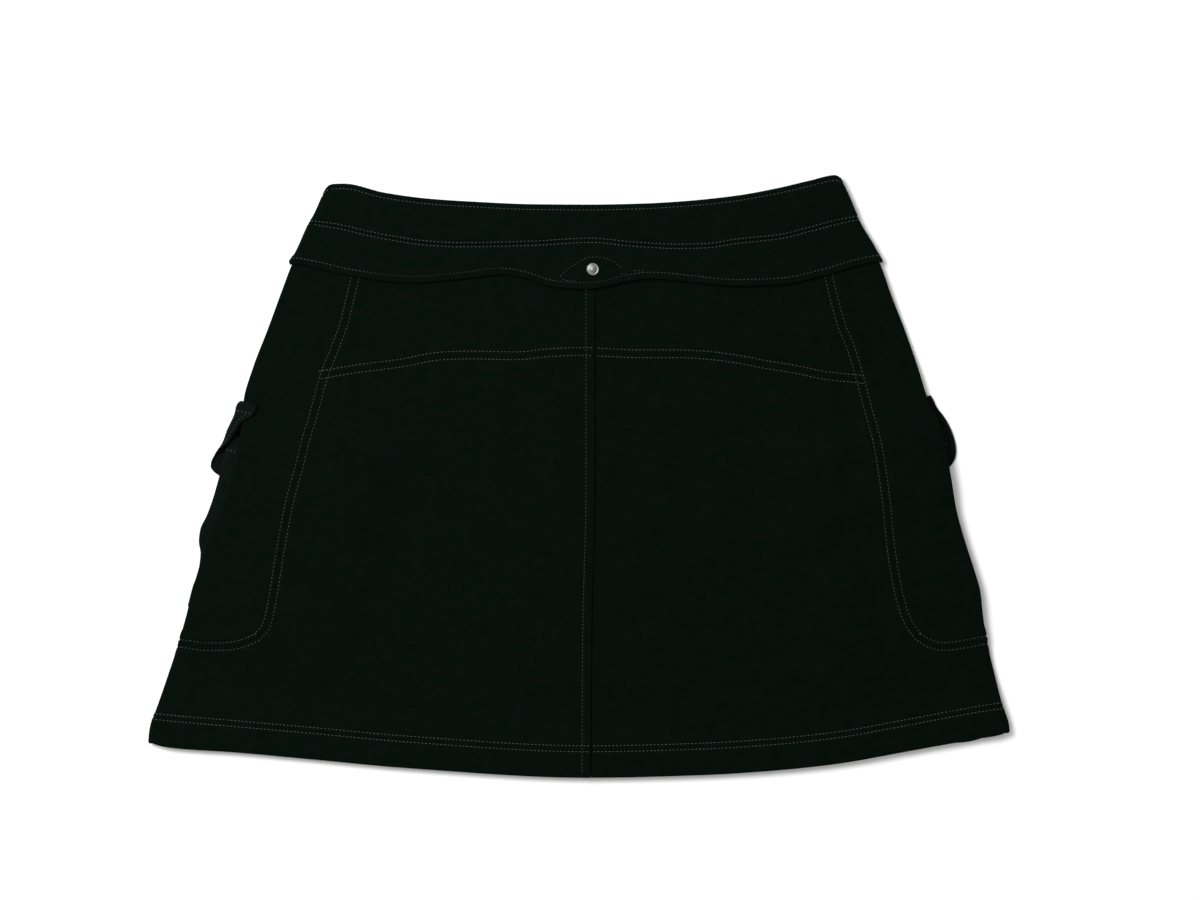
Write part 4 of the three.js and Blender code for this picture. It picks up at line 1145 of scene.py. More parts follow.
    def back_panel(self, side: Side) -> bpy.types.Object:
        """Back panel, which runs on below the side panel round to the front."""
        inner = self.back_columns(side)
        side_length, front_length = self.COLUMN_LENGTH["side"], self.COLUMN_LENGTH["front_side"]
        flank = stops(inner[-1], 2, side_length, (), ())[1:]
        end = [LOWER_SIDE_SEAM - d / front_length for d in reversed(NEAR_SEAM)]
        columns = np.concatenate([inner, flank, self.fold_columns(), [3.0], end])
        upper = plain_rows(stops(1, 2, self.ROW_LENGTH["panel"], NEAR_SEAM, ())[:-1])
        rows = upper + self.lower_rows()
        filled = np.ones((len(columns) - 1, len(rows) - 1), bool)
        filled[len(inner) - 1:, :len(upper)] = False
        return self.panel(f"skirt_back_panel_{side.word}", side, columns, rows, "back", filled)

    def side_panel(self, side: Side) -> bpy.types.Object:
        """Side panel, from the side seam round the fold to the front seam."""
        back_part = stops(1, 2, self.COLUMN_LENGTH["side"], NEAR_SEAM, ())
        front_part = stops(3, 4, self.COLUMN_LENGTH["front_side"], (), NEAR_SEAM)
        columns = np.concatenate([back_part, self.fold_columns(), front_part])
        yoke_rows = stops(0, 1, self.ROW_LENGTH["yoke"], (), ())[:-1]
        panel_rows = stops(1, 2, self.ROW_LENGTH["panel"], (), NEAR_SEAM)
        rows = plain_rows(np.concatenate([yoke_rows, panel_rows]))
        return self.panel(f"skirt_side_panel_{side.word}", side, columns, rows, "side")

    def front_panel(self) -> bpy.types.Object:
        """Front panel, which is wider below the side panels."""
        length = self.COLUMN_LENGTH["front_side"] * (4 - LOWER_SIDE_SEAM)
        outer = stops(LOWER_SIDE_SEAM, 4, length, NEAR_SEAM, ())[:-1]
        inner = stops(4, 5, self.COLUMN_LENGTH["front"], NEAR_SEAM, ())
        columns = np.concatenate([outer, inner])
        yoke_rows = stops(0, 1, self.ROW_LENGTH["yoke"], (), ())[:-1]
        panel_rows = stops(1, 2, self.ROW_LENGTH["panel"], (), ())[:-1]
        upper = plain_rows(np.concatenate([yoke_rows, panel_rows]))
        rows = upper + self.lower_rows()
        halves = ((Side.LEFT, columns), (Side.RIGHT, columns[::-1][1:]))
        grids = [self.sheet_grid(side, order, rows, "front") for side, order in halves]
        face, back = (np.concatenate(parts) for parts in zip(*grids))
        filled = np.ones((face.shape[0] - 1, face.shape[1] - 1), bool)
        filled[:len(outer), :len(upper)] = False
        filled[-len(outer):, :len(upper)] = False
        return ClothWall(face, back, filled).build("skirt_front_panel")

    def build(self, shop: Workshop, cloth: bpy.types.Material) -> None:
        """Build and dress every panel."""
        for side in Side:
            for build in (self.yoke, self.back_panel, self.side_panel):
                shop.finish_cloth(build(side), cloth)
        shop.finish_cloth(self.front_panel(), cloth)


def walk(half: HalfBody, q: Array, t: Array, offset: Array) -> tuple[Array, Array]:
    """Places beside a line on the outer face.

    Args:
        half: the half of the body.
        q: columns of the line's points.
        t: their rows.
        offset: how far to step, in millimetres; positive is to the line's left as seen from outside.

    Returns:
        Columns and rows of the stepped places.
    """
    base, normal = half.point(q, t), half.normal(q, t)
    tangent = unit(np.gradient(base, axis=0))
    aim = base + np.cross(normal, tangent) * np.asarray(offset)[..., None]
    column, row = q.copy(), t.copy()
    for _ in range(CLOSE_ROUNDS):
        miss = aim - half.point(column, row)
        round_it, down = half.slopes(column, row)
        a = np.sum(round_it * round_it, axis=-1)
        b = np.sum(round_it * down, axis=-1)
        c = np.sum(down * down, axis=-1)
        e, f = np.sum(round_it * miss, axis=-1), np.sum(down * miss, axis=-1)
        det = np.maximum(a * c - b * b, TINY)
        column = column + (c * e - b * f) / det
        row = row + (a * f - b * e) / det
    return column, row


@dataclass
class Bands:
    """Waistband and hip band, which run round the skirt outside the body.

    A column w runs round a band: 0 to 1 over the back from left to right, to 2 round the right fold,
    to 3 along the front and to 4 round the left fold. A row v runs from its lower to its upper edge.
    """

    halves: dict[Side, HalfBody]
    back_length: float = 400.0
    turn_steps: int = 10
    band_depth: float = 29.0
    swell_length: float = 27.0
    swell_depth: float = 10.0
    swell_lift: float = 0.75
    edge_zone: float = 18.0
    search_from: float = 180.0
    waist_seam_gap: float = 0.06
    slope_step: float = 1e-3
    folds: dict[Side, Curve] = field(default_factory=lambda: pair_curves(BAND_FOLDS))

    def height(self, x: Array, y: Array) -> Array:
        """Upper face of the hip band, with the swell round the rivet and its edge standing off."""
        left, right = (self.halves[side].back_height(x, y) for side in Side)
        body = np.where(x < CENTRE_SEAM, left, right)
        across, down = (x - RIVET_PLACE[0]) / self.swell_length, (y - RIVET_PLACE[1]) / self.swell_depth
        lens = np.maximum(0, 1 - across**2 - down**2)
        near_edge = 1 - smooth(0, self.edge_zone, y - BAND_EDGE(x))
        return body + LAYER + self.swell_lift * np.sqrt(lens) * lens + STAND_OFF(x) * near_edge

    def point(self, w: Array, v: Array, lower: RowLine, upper: RowLine) -> Array:
        """Points of a band's outer face.

        Args:
            w: columns.
            v: rows.
            lower: height up the skirt of the lower edge, by place across and dip of the front.
            upper: the same for the upper edge.

        Returns:
            Points, with x, y and z in the last axis.
        """
        w, v = np.broadcast_arrays(np.asarray(w, float) % 4, np.asarray(v, float))
        front = (w > 2) & (w < 3)
        across = np.where(w <= 1, w, np.where(w <= 2, 1.0, np.maximum(0, 3 - w)))
        dip = np.where(front, np.sin((w - 2) * np.pi), 0.0)
        angle = np.pi * np.where(w <= 2, w - 1, 4 - w)
        outward = np.where(w <= 2, 1.0, -1.0)
        turning = ((w > 1) & (w < 2)) | (w > 3)
        reach = np.where(turning, outward * np.sin(angle), 0.0)
        y = np.full(w.shape, self.search_from)
        for _ in range(CLOSE_ROUNDS):
            left, right = self.folds[Side.LEFT](y), self.folds[Side.RIGHT](y)
            radius = self.height(np.where(across < 0.5, left, right), y) / 2
            x = lerp(left + radius, right - radius, across)
            turned_x = x + reach * radius
            y = lerp(lower(turned_x, dip), upper(turned_x, dip), v)
        flat_z = np.where(w <= 1, self.height(x, y), 0.0)
        z = np.where(turning, radius * (1 + np.cos(angle)), flat_z)
        return np.stack([turned_x, y, z], axis=-1)

    def normal(self, w: Array, v: Array, lower: RowLine, upper: RowLine) -> Array:
        """Direction out of a band's face."""
        step = self.slope_step
        round_it = self.point(w + step, v, lower, upper) - self.point(w - step, v, lower, upper)
        up = self.point(w, v + step, lower, upper) - self.point(w, v - step, lower, upper)
        return unit(np.cross(round_it, up))

    def columns(self) -> Array:
        """Columns all round a band."""
        over = round(self.back_length / OPEN_STEP)
        return np.concatenate([
            np.linspace(0, 1, over + 1),
            np.linspace(1, 2, self.turn_steps + 1)[1:-1],
            np.linspace(2, 3, over // 2 + 1),
            np.linspace(3, 4, self.turn_steps + 1)[1:],
        ])

    def waist_lines(self) -> tuple[RowLine, RowLine]:
        """Lower and upper edge of the waistband."""
        return (
            lambda x, dip: WAIST_SEAM(x) - FRONT_WAIST_DIP * dip + self.waist_seam_gap,
            lambda x, dip: WAIST_EDGE(x) - FRONT_WAIST_DIP * dip,
        )

    @staticmethod
    def hip_lines() -> tuple[RowLine, RowLine]:
        """Lower and upper edge of the hip band."""
        return (
            lambda x, dip: np.where(dip > 0, FRONT_BAND_EDGE(x), BAND_EDGE(x)),
            lambda x, dip: WAIST_SEAM(x) - FRONT_WAIST_DIP * dip,
        )

    def band(
        self, name: str, rows: Array, wall: float, lines: tuple[RowLine, RowLine], waist: bool
    ) -> bpy.types.Object:
        """Build one band.

        Args:
            name: the piece's name.
            rows: its rows, from 0 to 1.
            wall: its thickness.
            lines: its lower and upper edge.
            waist: whether it is the waistband, whose upper edge is a fold.

        Returns:
            The band.
        """
        w, v = np.broadcast_arrays(self.columns()[:, None], rows[None, :])
        base, normal = self.point(w, v, *lines), self.normal(w, v, *lines)
        along = np.cumsum(np.linalg.norm(np.diff(base, axis=0, prepend=base[:1]), axis=2), axis=0)
        depth = np.linalg.norm(self.point(w, 1 + 0 * v, *lines) - self.point(w, 0 * v, *lines), axis=2)
        low, high = v * depth, (1 - v) * depth
        relief = waist_relief(low, high, along) if waist else hip_relief(low, high, along)
        relief = not_raised_where_resting(relief, normal)
        low_radius, high_radius = (TWIN_ROLL, wall / 2) if waist else (EDGE_ROLL, TWIN_ROLL)
        roll = np.maximum(rolled(low, low_radius), rolled(high, high_radius))
        face = base + normal * (relief - roll)[..., None]
        back = base - normal * (wall - roll)[..., None]
        return ClothWall(face, back, cloth_map=grid_map(base), ring=True).build(name)

    def build(self, shop: Workshop, cloth: bpy.types.Material) -> None:
        """Build and dress both bands."""
        waist_rows = stops(0, 1, self.band_depth, NEAR_SEAM, NEAR_FOLD)
        hip_rows = stops(0, 1, self.band_depth, NEAR_FREE, NEAR_SEAM)
        waist = self.band("skirt_waistband", waist_rows, WAIST_WALL, self.waist_lines(), True)
        shop.finish_cloth(waist, cloth)
        hip = self.band("skirt_hip_band", hip_rows, CLOTH, self.hip_lines(), False)
        shop.finish_cloth(hip, cloth)


@dataclass(frozen=True)
class BagColumn:
    """Column of a pocket bag: its place, and where its two faces lie when its side is turned in."""

    towards: int = 0
    part: float = 0.0
    inset: float = 0.0
    face: float = 0.0
    back: float = CLOTH
    face_out: float = 0.0
    back_out: float = 0.0


@dataclass
class PocketBag:
    """Pleated patch whose side edges turn in, lying under the side panel."""

    half: HalfBody
    top: float = 26.0
    bottom: float = 158.0
    inner_edge: float = 96.0
    step_from: float = 60.0
    step_to: float = 75.0
    gusset: float = 16.0
    gusset_parts: tuple[float, ...] = (0.2, 0.4, 0.6, 0.8, 0.94, 1.0)
    flat_steps: int = 35
    # Distance down the pocket, and how far inside the fold the left and right bag's outer edge lies
    outer_edge: tuple[Pair, ...] = (
        Pair(26, -1.8, -6.5), Pair(36, -4.0, -6.0), Pair(48, -4.9, -4.2), Pair(58, -4.5, -1.0),
        Pair(66, -4.8, 1.2), Pair(76, -5.4, 1.5), Pair(89, -6.9, 1.0), Pair(100, -9.2, 0.5),
        Pair(109, -8.2, 0.5), Pair(118, -4.7, 0.0), Pair(131, -3.4, -1.0), Pair(144, -4.8, -3.0),
        Pair(158, -5.0, -3.5),
    )

    def columns(self) -> list[BagColumn]:
        """Columns from one turned side, over the flat, to the other."""
        sides = {}
        for towards in (1, -1):
            turn = [BagColumn(towards, 0.0, 0.0, *values) for values in turned()]
            gusset = [BagColumn(towards, 0.0, self.gusset * part, *FOLDED) for part in self.gusset_parts]
            sides[towards] = turn + gusset
        flat = [BagColumn(part=float(part)) for part in np.linspace(0, 1, self.flat_steps + 1)[1:-1]]
        return sides[1][::-1] + flat + sides[-1]

    def faces(self, along: Array) -> tuple[Array, Array]:
        """Both faces of the bag, as columns by rows."""
        pocket, side = self.half.pocket, self.half.side
        columns = self.columns()

        def each(key: str) -> Array:
            """One value of every column, down the first axis."""
            return np.array([getattr(column, key) for column in columns], float)[:, None]

        down = along[None, :]
        outer = pair_curves(self.outer_edge)[side](down) + TURN_OUTER
        inner = self.inner_edge - TURN_OUTER
        towards = each("towards")
        edge = np.where(towards < 0, outer, inner) - towards * each("inset")
        base = np.where(towards == 0, lerp(inner, outer, each("part")), edge)
        floor = LAYER * (1 - smooth(self.step_from, self.step_to, down))

        def place(out: Array, height: Array) -> Array:
            """Points of one face."""
            x, y = pocket.plan(down, base + towards * out)
            return np.stack([x, y, floor + height + 0 * x], axis=-1)

        return place(each("face_out"), each("face")), place(each("back_out"), each("back"))

    def build(self) -> bpy.types.Object:
        """Build the bag."""
        length = self.bottom - self.top
        along = stops(self.top, self.bottom, length, NEAR_FREE, NEAR_SEAM)
        face, back = self.faces(along)
        ends = rolled(np.minimum(along - self.top, self.bottom - along))
        inward = unit(back - face) * ends[None, :, None]
        wall = ClothWall(face + inward, back - inward, cloth_map=grid_map(face))
        return wall.build(f"skirt_pocket_bag_{self.half.side.word}")


class PocketFlap:
    """Flap over a pocket's mouth, whose outer end passes the side fold."""

    INNER_EDGE = 100.0
    BEND_WIDTH = 3.0
    FLAT_LENGTH = 98.0
    PAST_STOPS = (*np.linspace(1, 1.93, 30)[1:], 1.95, 1.97, 1.985, 1.995, 2.0)

    def __init__(self, half: HalfBody) -> None:
        """Fit the curves of the flap's shape."""
        self.half = half
        rows = FLAP_SHAPE[half.side]
        self.end = rows[-1].along
        keys = range(1, len(FlapRow._fields))
        self.shape = [Curve([(row.along, row[key]) for row in rows]) for key in keys]

    def point(self, column: Array, along: Array, out: float) -> Array:
        """Points of the flap.

        Args:
            column: 0 at the inner edge, 1 at the bend and 2 at the outer end.
            along: distances down the flap.
            out: distance from the middle of its wall towards its outer face.

        Returns:
            Points, with x, y and z in the last axis.
        """
        column, along = np.broadcast_arrays(column, along)
        bend, rise, turn, back = (curve(along) for curve in self.shape)
        turn = np.radians(turn)
        arc = turn * (self.BEND_WIDTH + rise) / 2
        run = np.clip(column - 1, 0, 1) * (arc + back)
        angle = turn * np.minimum(1, run / np.maximum(arc, TINY))
        straight = np.maximum(0, run - arc)
        stretch = np.hypot(self.BEND_WIDTH * np.cos(angle), rise * np.sin(angle))
        outward, upward = self.BEND_WIDTH * np.cos(angle) / stretch, rise * np.sin(angle) / stretch
        start = lerp(self.INNER_EDGE, bend, np.minimum(column, 1))
        inward = start - self.BEND_WIDTH * np.sin(angle) - straight * outward - out * upward
        height = CLOTH / 2 + rise * (1 - np.cos(angle)) + straight * upward - out * outward
        x, y = self.half.pocket.plan(along, inward)
        return np.stack([x, y, height], axis=-1)

    def build(self) -> bpy.types.Object:
        """Build the flap."""
        flat = stops(0, 1, self.FLAT_LENGTH, NEAR_FREE, ())
        column = np.concatenate([flat, self.PAST_STOPS])[:, None]
        along = stops(0, self.end, self.end, NEAR_SEAM, NEAR_FREE)[None, :]
        face = self.point(column, along, CLOTH / 2)
        back = self.point(column, along, -CLOTH / 2)
        middle = (face + back) / 2
        rim = np.concatenate([middle[:, -1], middle[-1, ::-1], middle[::-1, 0], middle[0]])
        distance, _ = SeamLine(rim, open_seam_relief, reach=FLAP_REACH).measure(middle)
        roll = rolled(distance)[..., None] * unit(back - face)
        wall = ClothWall(face + roll, back - roll, cloth_map=grid_map(face))
        return wall.build(f"skirt_pocket_flap_{self.half.side.word}")


def build_pockets(shop: Workshop, halves: dict[Side, HalfBody], cloth: bpy.types.Material) -> None:
    """Build and dress both pockets."""
    for half in halves.values():
        shop.finish_cloth(PocketBag(half).build(), cloth)
        shop.finish_cloth(PocketFlap(half).build(), cloth)


@dataclass
class Thread:
    """Topstitching: one modelled stitch, laid along every row."""

    length: float = 1.8
    width: float = 0.52
    height: float = 0.4
    pitch: float = 2.8
    droop: float = 0.2
    seat: float = 0.12
    points: Array | None = None
    quads: Array | None = None
    laid: list[tuple[Array, Array, Array, Array]] = field(default_factory=list)

    def model(self) -> None:
        """Model the stitch: a rounded bar whose ends dip into the cloth."""
        bpy.ops.object.select_all(action="DESELECT")
        bpy.ops.mesh.primitive_cube_add(size=1.0)
        stitch = bpy.context.object
        bpy.ops.object.mode_set(mode="EDIT")
        bpy.ops.mesh.select_all(action="SELECT")
        bpy.ops.mesh.subdivide(number_cuts=1, smoothness=1.0)
        bpy.ops.transform.resize(value=(self.length, self.width, self.height))
        bpy.ops.object.mode_set(mode="OBJECT")
        mesh = stitch.data
        points = np.zeros(len(mesh.vertices) * 3)
        mesh.vertices.foreach_get("co", points)
        points = points.reshape(-1, 3)
        points *= np.array([self.length, self.width, self.height]) / np.ptp(points, axis=0)
        points[:, 2] -= self.droop * (2 * points[:, 0] / self.length) ** 2
        self.points = points
        self.quads = np.array([list(face.vertices) for face in mesh.polygons])
        bpy.data.objects.remove(stitch)
        bpy.data.meshes.remove(mesh)

    def lay(self, path: Array, normal: Array, lift: Array | float, tone: Array | float = 1.0) -> None:
        """Lay stitches along a path.

        Args:
            path: points on the outer face.
            normal: directions out of the face there.
            lift: height of the stitches above it, in millimetres.
            tone: how bright the thread looks there, from 0 to 1; below 1 it is painted shade.
        """
        lift = np.broadcast_to(np.asarray(lift, float), path.shape[:1])
        tone = np.broadcast_to(np.asarray(tone, float), path.shape[:1])
        raised = path + normal * lift[:, None]
        run = run_along(raised)
        count = int(run[-1] // self.pitch)
        spare = (run[-1] - count * self.pitch) / 2
        middle = spare + self.pitch * (np.arange(count) + 0.5)
        start, end = (read_along(middle + half, run, raised) for half in (-self.length / 2, self.length / 2))
        up, tones = unit(read_along(middle, run, normal)), np.interp(middle, run, tone)
        self.laid.append(((start + end) / 2, unit(end - start), up, tones))

    def build(self, name: str) -> bpy.types.Object:
        """Join the laid stitches into one piece, and start afresh.

        Args:
            name: the piece's name.

        Returns:
            The joined stitches.
        """
        centre, forward, up, tones = (np.concatenate([row[k] for row in self.laid]) for k in range(4))
        self.laid = []
        aside = unit(np.cross(up, forward))
        up = np.cross(forward, aside)
        axes = np.stack([forward, aside, up], axis=1)
        places = centre[:, None, :] + np.einsum("vk,nkc->nvc", self.points, axes)
        shift = np.arange(len(centre))[:, None, None] * len(self.points)
        quads = (self.quads[None] + shift).reshape(-1, 4)
        piece = mesh_object(name, places.reshape(-1, 3), quads)
        # Each stitch's tone, which the thread material uses to paint shade
        layer = piece.data.attributes.new("tone", "FLOAT", "POINT")
        layer.data.foreach_set("value", np.repeat(tones, len(self.points)))
        return piece


@dataclass
class Stitching:
    """Every row of topstitching on the skirt."""

    panels: BodyPanels
    bands: Bands
    thread: Thread = field(default_factory=Thread)
    tucked: float = 1.5
    rest_lift: float = -0.22
    pocket_sink: float = -0.05
    band_points: int = 1600
    rivet_row_points: int = 60

    def lift_where(self, normal: Array, relief: Array | float) -> Array:
        """Height of stitches: on the relief, or sunk in where the cloth rests on its outer face."""
        return lerp(relief + self.thread.seat, self.rest_lift, resting(normal))

    def body_row(self, half: HalfBody, q: Array, t: Array, tone: float = 1.0) -> None:
        """Lay a row on the body, from just under the hip band on."""
        path, normal = half.point(q, t), half.normal(q, t)
        edge = np.where(q > 2.5, FRONT_BAND_EDGE(path[:, 0]), BAND_EDGE(path[:, 0]))
        shown = path[:, 1] < edge + self.tucked
        q, t, path, normal = q[shown], t[shown], path[shown], normal[shown]
        relief = self.panels.lift(half.side, q, t, path, normal)
        self.thread.lay(path, normal, self.lift_where(normal, relief), tone)

    def beside(self, half: HalfBody, q: Array, t: Array, tone: float = 1.0) -> None:
        """Lay a row on each side of a seam."""
        for sign in (-1, 1):
            self.body_row(half, *walk(half, q, t, np.full(q.shape, sign * ROW_OFFSET)), tone)

    def body_rows(self, shop: Workshop, thread_finish: bpy.types.Material) -> None:
        """Rows of the body panels."""
        groups = {
            name: lambda half, rows=rows: self.twin_rows(half, *rows) for name, rows in TWIN_ROWS.items()
        }
        groups["skirt_stitches_centre_seam"] = self.centre_row
        groups["skirt_stitches_hem"] = self.hem_rows
        for name, lay in groups.items():
            for half in self.panels.halves.values():
                lay(half)
            shop.finish(self.thread.build(name), thread_finish, Slot.THREAD)

    def twin_rows(self, half: HalfBody, tone: float, lines: Sequence[Sequence[Stretch]]) -> None:
        """Lay twin rows along lines on the body."""
        for line in lines:
            self.beside(half, *through(line), tone)

    def centre_row(self, half: HalfBody) -> None:
        """Row that holds the felled centre seam down, on the left only."""
        if half.side is Side.RIGHT:
            return
        q, t = through([CENTRE_ROW])
        round_it, _ = half.slopes(q, t)
        self.body_row(half, FELL_ROW / np.linalg.norm(round_it, axis=1), t, CENTRE_ROW_SHADED_TONE)

    def hem_rows(self, half: HalfBody) -> None:
        """Two rows round the hem."""
        q, _ = through([HEM_ROW])
        for distance in HEM_ROWS:
            self.body_row(half, q, half.hem_row(q, distance))

    def band_row(
        self,
        lines: tuple[RowLine, RowLine],
        distance: float,
        from_top: bool,
        relief: float,
        tones: Curve | None = None,
    ) -> None:
        """Lay a row round a band.

        Args:
            lines: the band's lower and upper edge.
            distance: how far from an edge the row lies.
            from_top: whether that is the upper edge.
            relief: height of the cloth's relief at the row.
            tones: how bright the thread looks, by place across, or None.
        """
        w = np.linspace(0.0, 4.0, self.band_points)
        low, high = self.bands.point(w, 0 * w, *lines), self.bands.point(w, 0 * w + 1, *lines)
        v = distance / np.linalg.norm(high - low, axis=1)
        v = 1 - v if from_top else v
        path, normal = self.bands.point(w, v, *lines), self.bands.normal(w, v, *lines)
        tone = 1.0 if tones is None else tones(path[:, 0])
        self.thread.lay(path, normal, self.lift_where(normal, relief), tone)

    def band_rows(self, shop: Workshop, thread_finish: bpy.types.Material) -> None:
        """Rows of both bands, and the short ones round the rivet."""
        waist, hip = self.bands.waist_lines(), self.bands.hip_lines()
        self.band_row(waist, WAIST_TOP_ROW, True, -0.1)
        self.band_row(waist, TWIN_ROW, False, -0.25)
        shop.finish(self.thread.build("skirt_stitches_waistband"), thread_finish, Slot.THREAD)
        self.band_row(hip, TWIN_ROW, True, -0.3)
        self.band_row(hip, HIP_EDGE_ROW, False, -0.06, HIP_EDGE_SHADED_TONES)
        for run in RIVET_ROWS:
            self.plan_row(run)
        shop.finish(self.thread.build("skirt_stitches_hip_band"), thread_finish, Slot.THREAD)

    def plan_row(self, run: Sequence[tuple[float, float]]) -> None:
        """Lay a short row on the hip band through plan points."""
        points = np.array(run, float)
        steps = run_along(points)
        places = np.linspace(0, steps[-1], self.rivet_row_points)
        x, y = (Curve(list(zip(steps, points[:, k])))(places) for k in (0, 1))
        path = np.stack([x, y, self.bands.height(x, y)], axis=1)
        up = np.tile([0.0, 0.0, 1.0], (self.rivet_row_points, 1))
        self.thread.lay(path, up, self.thread.seat, RIVET_ROW_SHADED_TONE)

    def pocket_rows(self, shop: Workshop, thread_finish: bpy.types.Material) -> None:
        """Rows on the outer faces of the flaps, and along the mouths of the bags."""
        for half in self.panels.halves.values():
            flap, bag = PocketFlap(half), PocketBag(half)
            top, low = FLAP_TOP_ROW, flap.end - FLAP_EDGE_ROW
            inner, outer = FLAP_END_COLUMNS
            # The last value of each row is its tone; the outer end's row is dimmed as painted shade
            for columns, down, points, tone in (
                ((0.05, 1.95), (top, top), 400, 1.0),
                ((0.05, 1.0), (low, low), 300, 1.0),
                ((inner, inner), (top, low), 120, 1.0),
                ((outer, outer), (top, low), 120, 0.5),
            ):
                self.flap_row(flap, *through([Stretch(columns, down, points)]), tone)
            face, back = bag.faces(np.array([bag.top + BAG_MOUTH_ROW]))
            normal = unit(face - back)[:, 0]
            self.thread.lay(face[:, 0], normal, self.lift_where(normal, self.pocket_sink))
        shop.finish(self.thread.build("skirt_stitches_pockets"), thread_finish, Slot.THREAD)

    def flap_row(self, flap: PocketFlap, column: Array, along: Array, tone: float) -> None:
        """Lay a row on the outer face of a flap."""
        face, back = flap.point(column, along, CLOTH / 2), flap.point(column, along, -CLOTH / 2)
        normal = unit(face - back)
        self.thread.lay(face, normal, self.lift_where(normal, self.pocket_sink), tone)


@dataclass
class RivetCap:
    """Metal cap: a flat rim, a ring of radial notches and a low crown."""

    bands: Bands
    radius: float = 4.4
    rim_height: float = 0.55
    rim_width: float = 0.55
    notch_inner: float = 1.3
    notch_outer: float = 3.0
    notch_depth: float = 0.4
    notch_inset: float = 0.04
    sides: int = 27
    notch_every: int = 3
    bevel: float = 0.07
    sharp_from: float = math.radians(35)

    def build(self) -> bpy.types.Object:
        """Build the cap on the hip band's swelling."""
        x, y = RIVET_PLACE
        base = float(self.bands.height(np.array([x]), np.array([y]))[0])
        bpy.ops.object.select_all(action="DESELECT")
        bpy.ops.mesh.primitive_cylinder_add(
            vertices=self.sides, radius=self.radius * MM, depth=self.rim_height * MM,
            location=(x * MM, y * MM, (base + self.rim_height / 2) * MM),
        )
        cap = bpy.context.object
        cap.name = cap.data.name = "skirt_rivet"
        bpy.ops.object.mode_set(mode="EDIT")
        self.select_top(cap)
        to_notches = self.radius - self.rim_width - 0.6 - self.notch_outer
        rings = (
            (self.rim_width, 0.0), (0.18, -0.12), (0.22, 0.16), (0.2, 0.12), (to_notches, 0.06),
            (self.notch_outer - self.notch_inner, 0.1), (0.35, 0.1), (0.7, 0.08), (0.6, 0.03),
        )
        for inset, rise in rings:
            bpy.ops.mesh.inset(thickness=inset * MM, depth=0)
            bpy.ops.transform.translate(value=(0, 0, rise * MM))
        bpy.ops.object.mode_set(mode="OBJECT")
        self.cut_notches(cap)
        bevel = cap.modifiers.new("edges", "BEVEL")
        bevel.width, bevel.segments, bevel.angle_limit = self.bevel * MM, 2, self.sharp_from
        bpy.ops.object.modifier_apply(modifier=bevel.name)
        bpy.ops.object.transform_apply(location=True, rotation=True, scale=True)
        bpy.ops.object.shade_smooth_by_angle(angle=self.sharp_from)
        return cap

    def select_top(self, cap: bpy.types.Object) -> None:
        """Select the cap's top face alone."""
        bpy.ops.mesh.select_mode(type="FACE")
        bpy.ops.mesh.select_all(action="DESELECT")
        shape = bmesh.from_edit_mesh(cap.data)
        top = max(shape.faces, key=lambda face: face.calc_center_median().z)
        top.select = True
        shape.faces.active = top
        bmesh.update_edit_mesh(cap.data)

    def cut_notches(self, cap: bpy.types.Object) -> None:
        """Sink every few faces of the ring between the rim and the crown."""
        middle, width = (self.notch_inner + self.notch_outer) / 2, self.notch_outer - self.notch_inner
        bpy.ops.object.mode_set(mode="EDIT")
        bpy.ops.mesh.select_all(action="DESELECT")
        shape = bmesh.from_edit_mesh(cap.data)
        for face in shape.faces:
            centre = face.calc_center_median()
            dx, dy = centre.x / MM, centre.y / MM
            turn = math.atan2(dy, dx) / (2 * math.pi) * self.sides
            ring = abs(math.hypot(dx, dy) - middle) < 0.3 * width
            face.select = ring and face.normal.z > 0.5 and math.floor(turn) % self.notch_every == 0
        bmesh.update_edit_mesh(cap.data)
        inset, depth = self.notch_inset * MM, -self.notch_depth * MM
        bpy.ops.mesh.inset(thickness=inset, depth=depth, use_individual=True)
        bpy.ops.object.mode_set(mode="OBJECT")
        # Mark the notch faces, where the material paints shade
        hollow = cap.data.attributes.new("hollow", "FLOAT", "FACE")
        for index, face in enumerate(cap.data.polygons):
            hollow.data[index].value = float(face.select)


def feed(node: bpy.types.Node, inputs: dict[str | int, Input]) -> None:
    """Set or link a node's inputs.

    Args:
        node: the node.
        inputs: a value or another node's output for each input, by its name or number.
    """
    for key, value in inputs.items():
        if isinstance(value, Socket):
            node.id_data.links.new(value, node.inputs[key])
        else:
            node.inputs[key].default_value = value


def add_node(
    tree: bpy.types.NodeTree, kind: str, inputs: dict[str | int, Input] | None = None, **settings: object
) -> bpy.types.Node:
    """Add a shader node.

    Args:
        tree: the node tree.
        kind: the node's type, without its first words.
        inputs: its inputs' values and links, or None.
        settings: its attributes.

    Returns:
        The node.
    """
    node = tree.nodes.new(f"ShaderNode{kind}")
    for key, value in settings.items():
        setattr(node, key, value)
    feed(node, inputs or {})
    return node


def object_place(tree: bpy.types.NodeTree) -> Socket:
    """Place on the object, for textures."""
    return add_node(tree, "TexCoord").outputs["Object"]


def noise(place: Socket, scale: float, detail: float, roughness: float = 0.5) -> Socket:
    """Value of a noise texture at a place."""
    inputs = {"Vector": place, "Scale": scale, "Detail": detail, "Roughness": roughness}
    return add_node(place.id_data, "TexNoise", inputs).outputs["Fac"]


def arithmetic(operation: str, *values: Input) -> Socket:
    """Result of an operation on values, of which one at least is an output."""
    tree = next(value.id_data for value in values if isinstance(value, Socket))
    return add_node(tree, "Math", dict(enumerate(values)), operation=operation).outputs[0]


def mixed(part: Input, first: Input, second: Input, tree: bpy.types.NodeTree, blend: str = "MIX") -> Socket:
    """Colour mixed from a first and a second one."""
    inputs = {0: part, 6: first, 7: second}
    return add_node(tree, "Mix", inputs, data_type="RGBA", blend_type=blend).outputs[2]


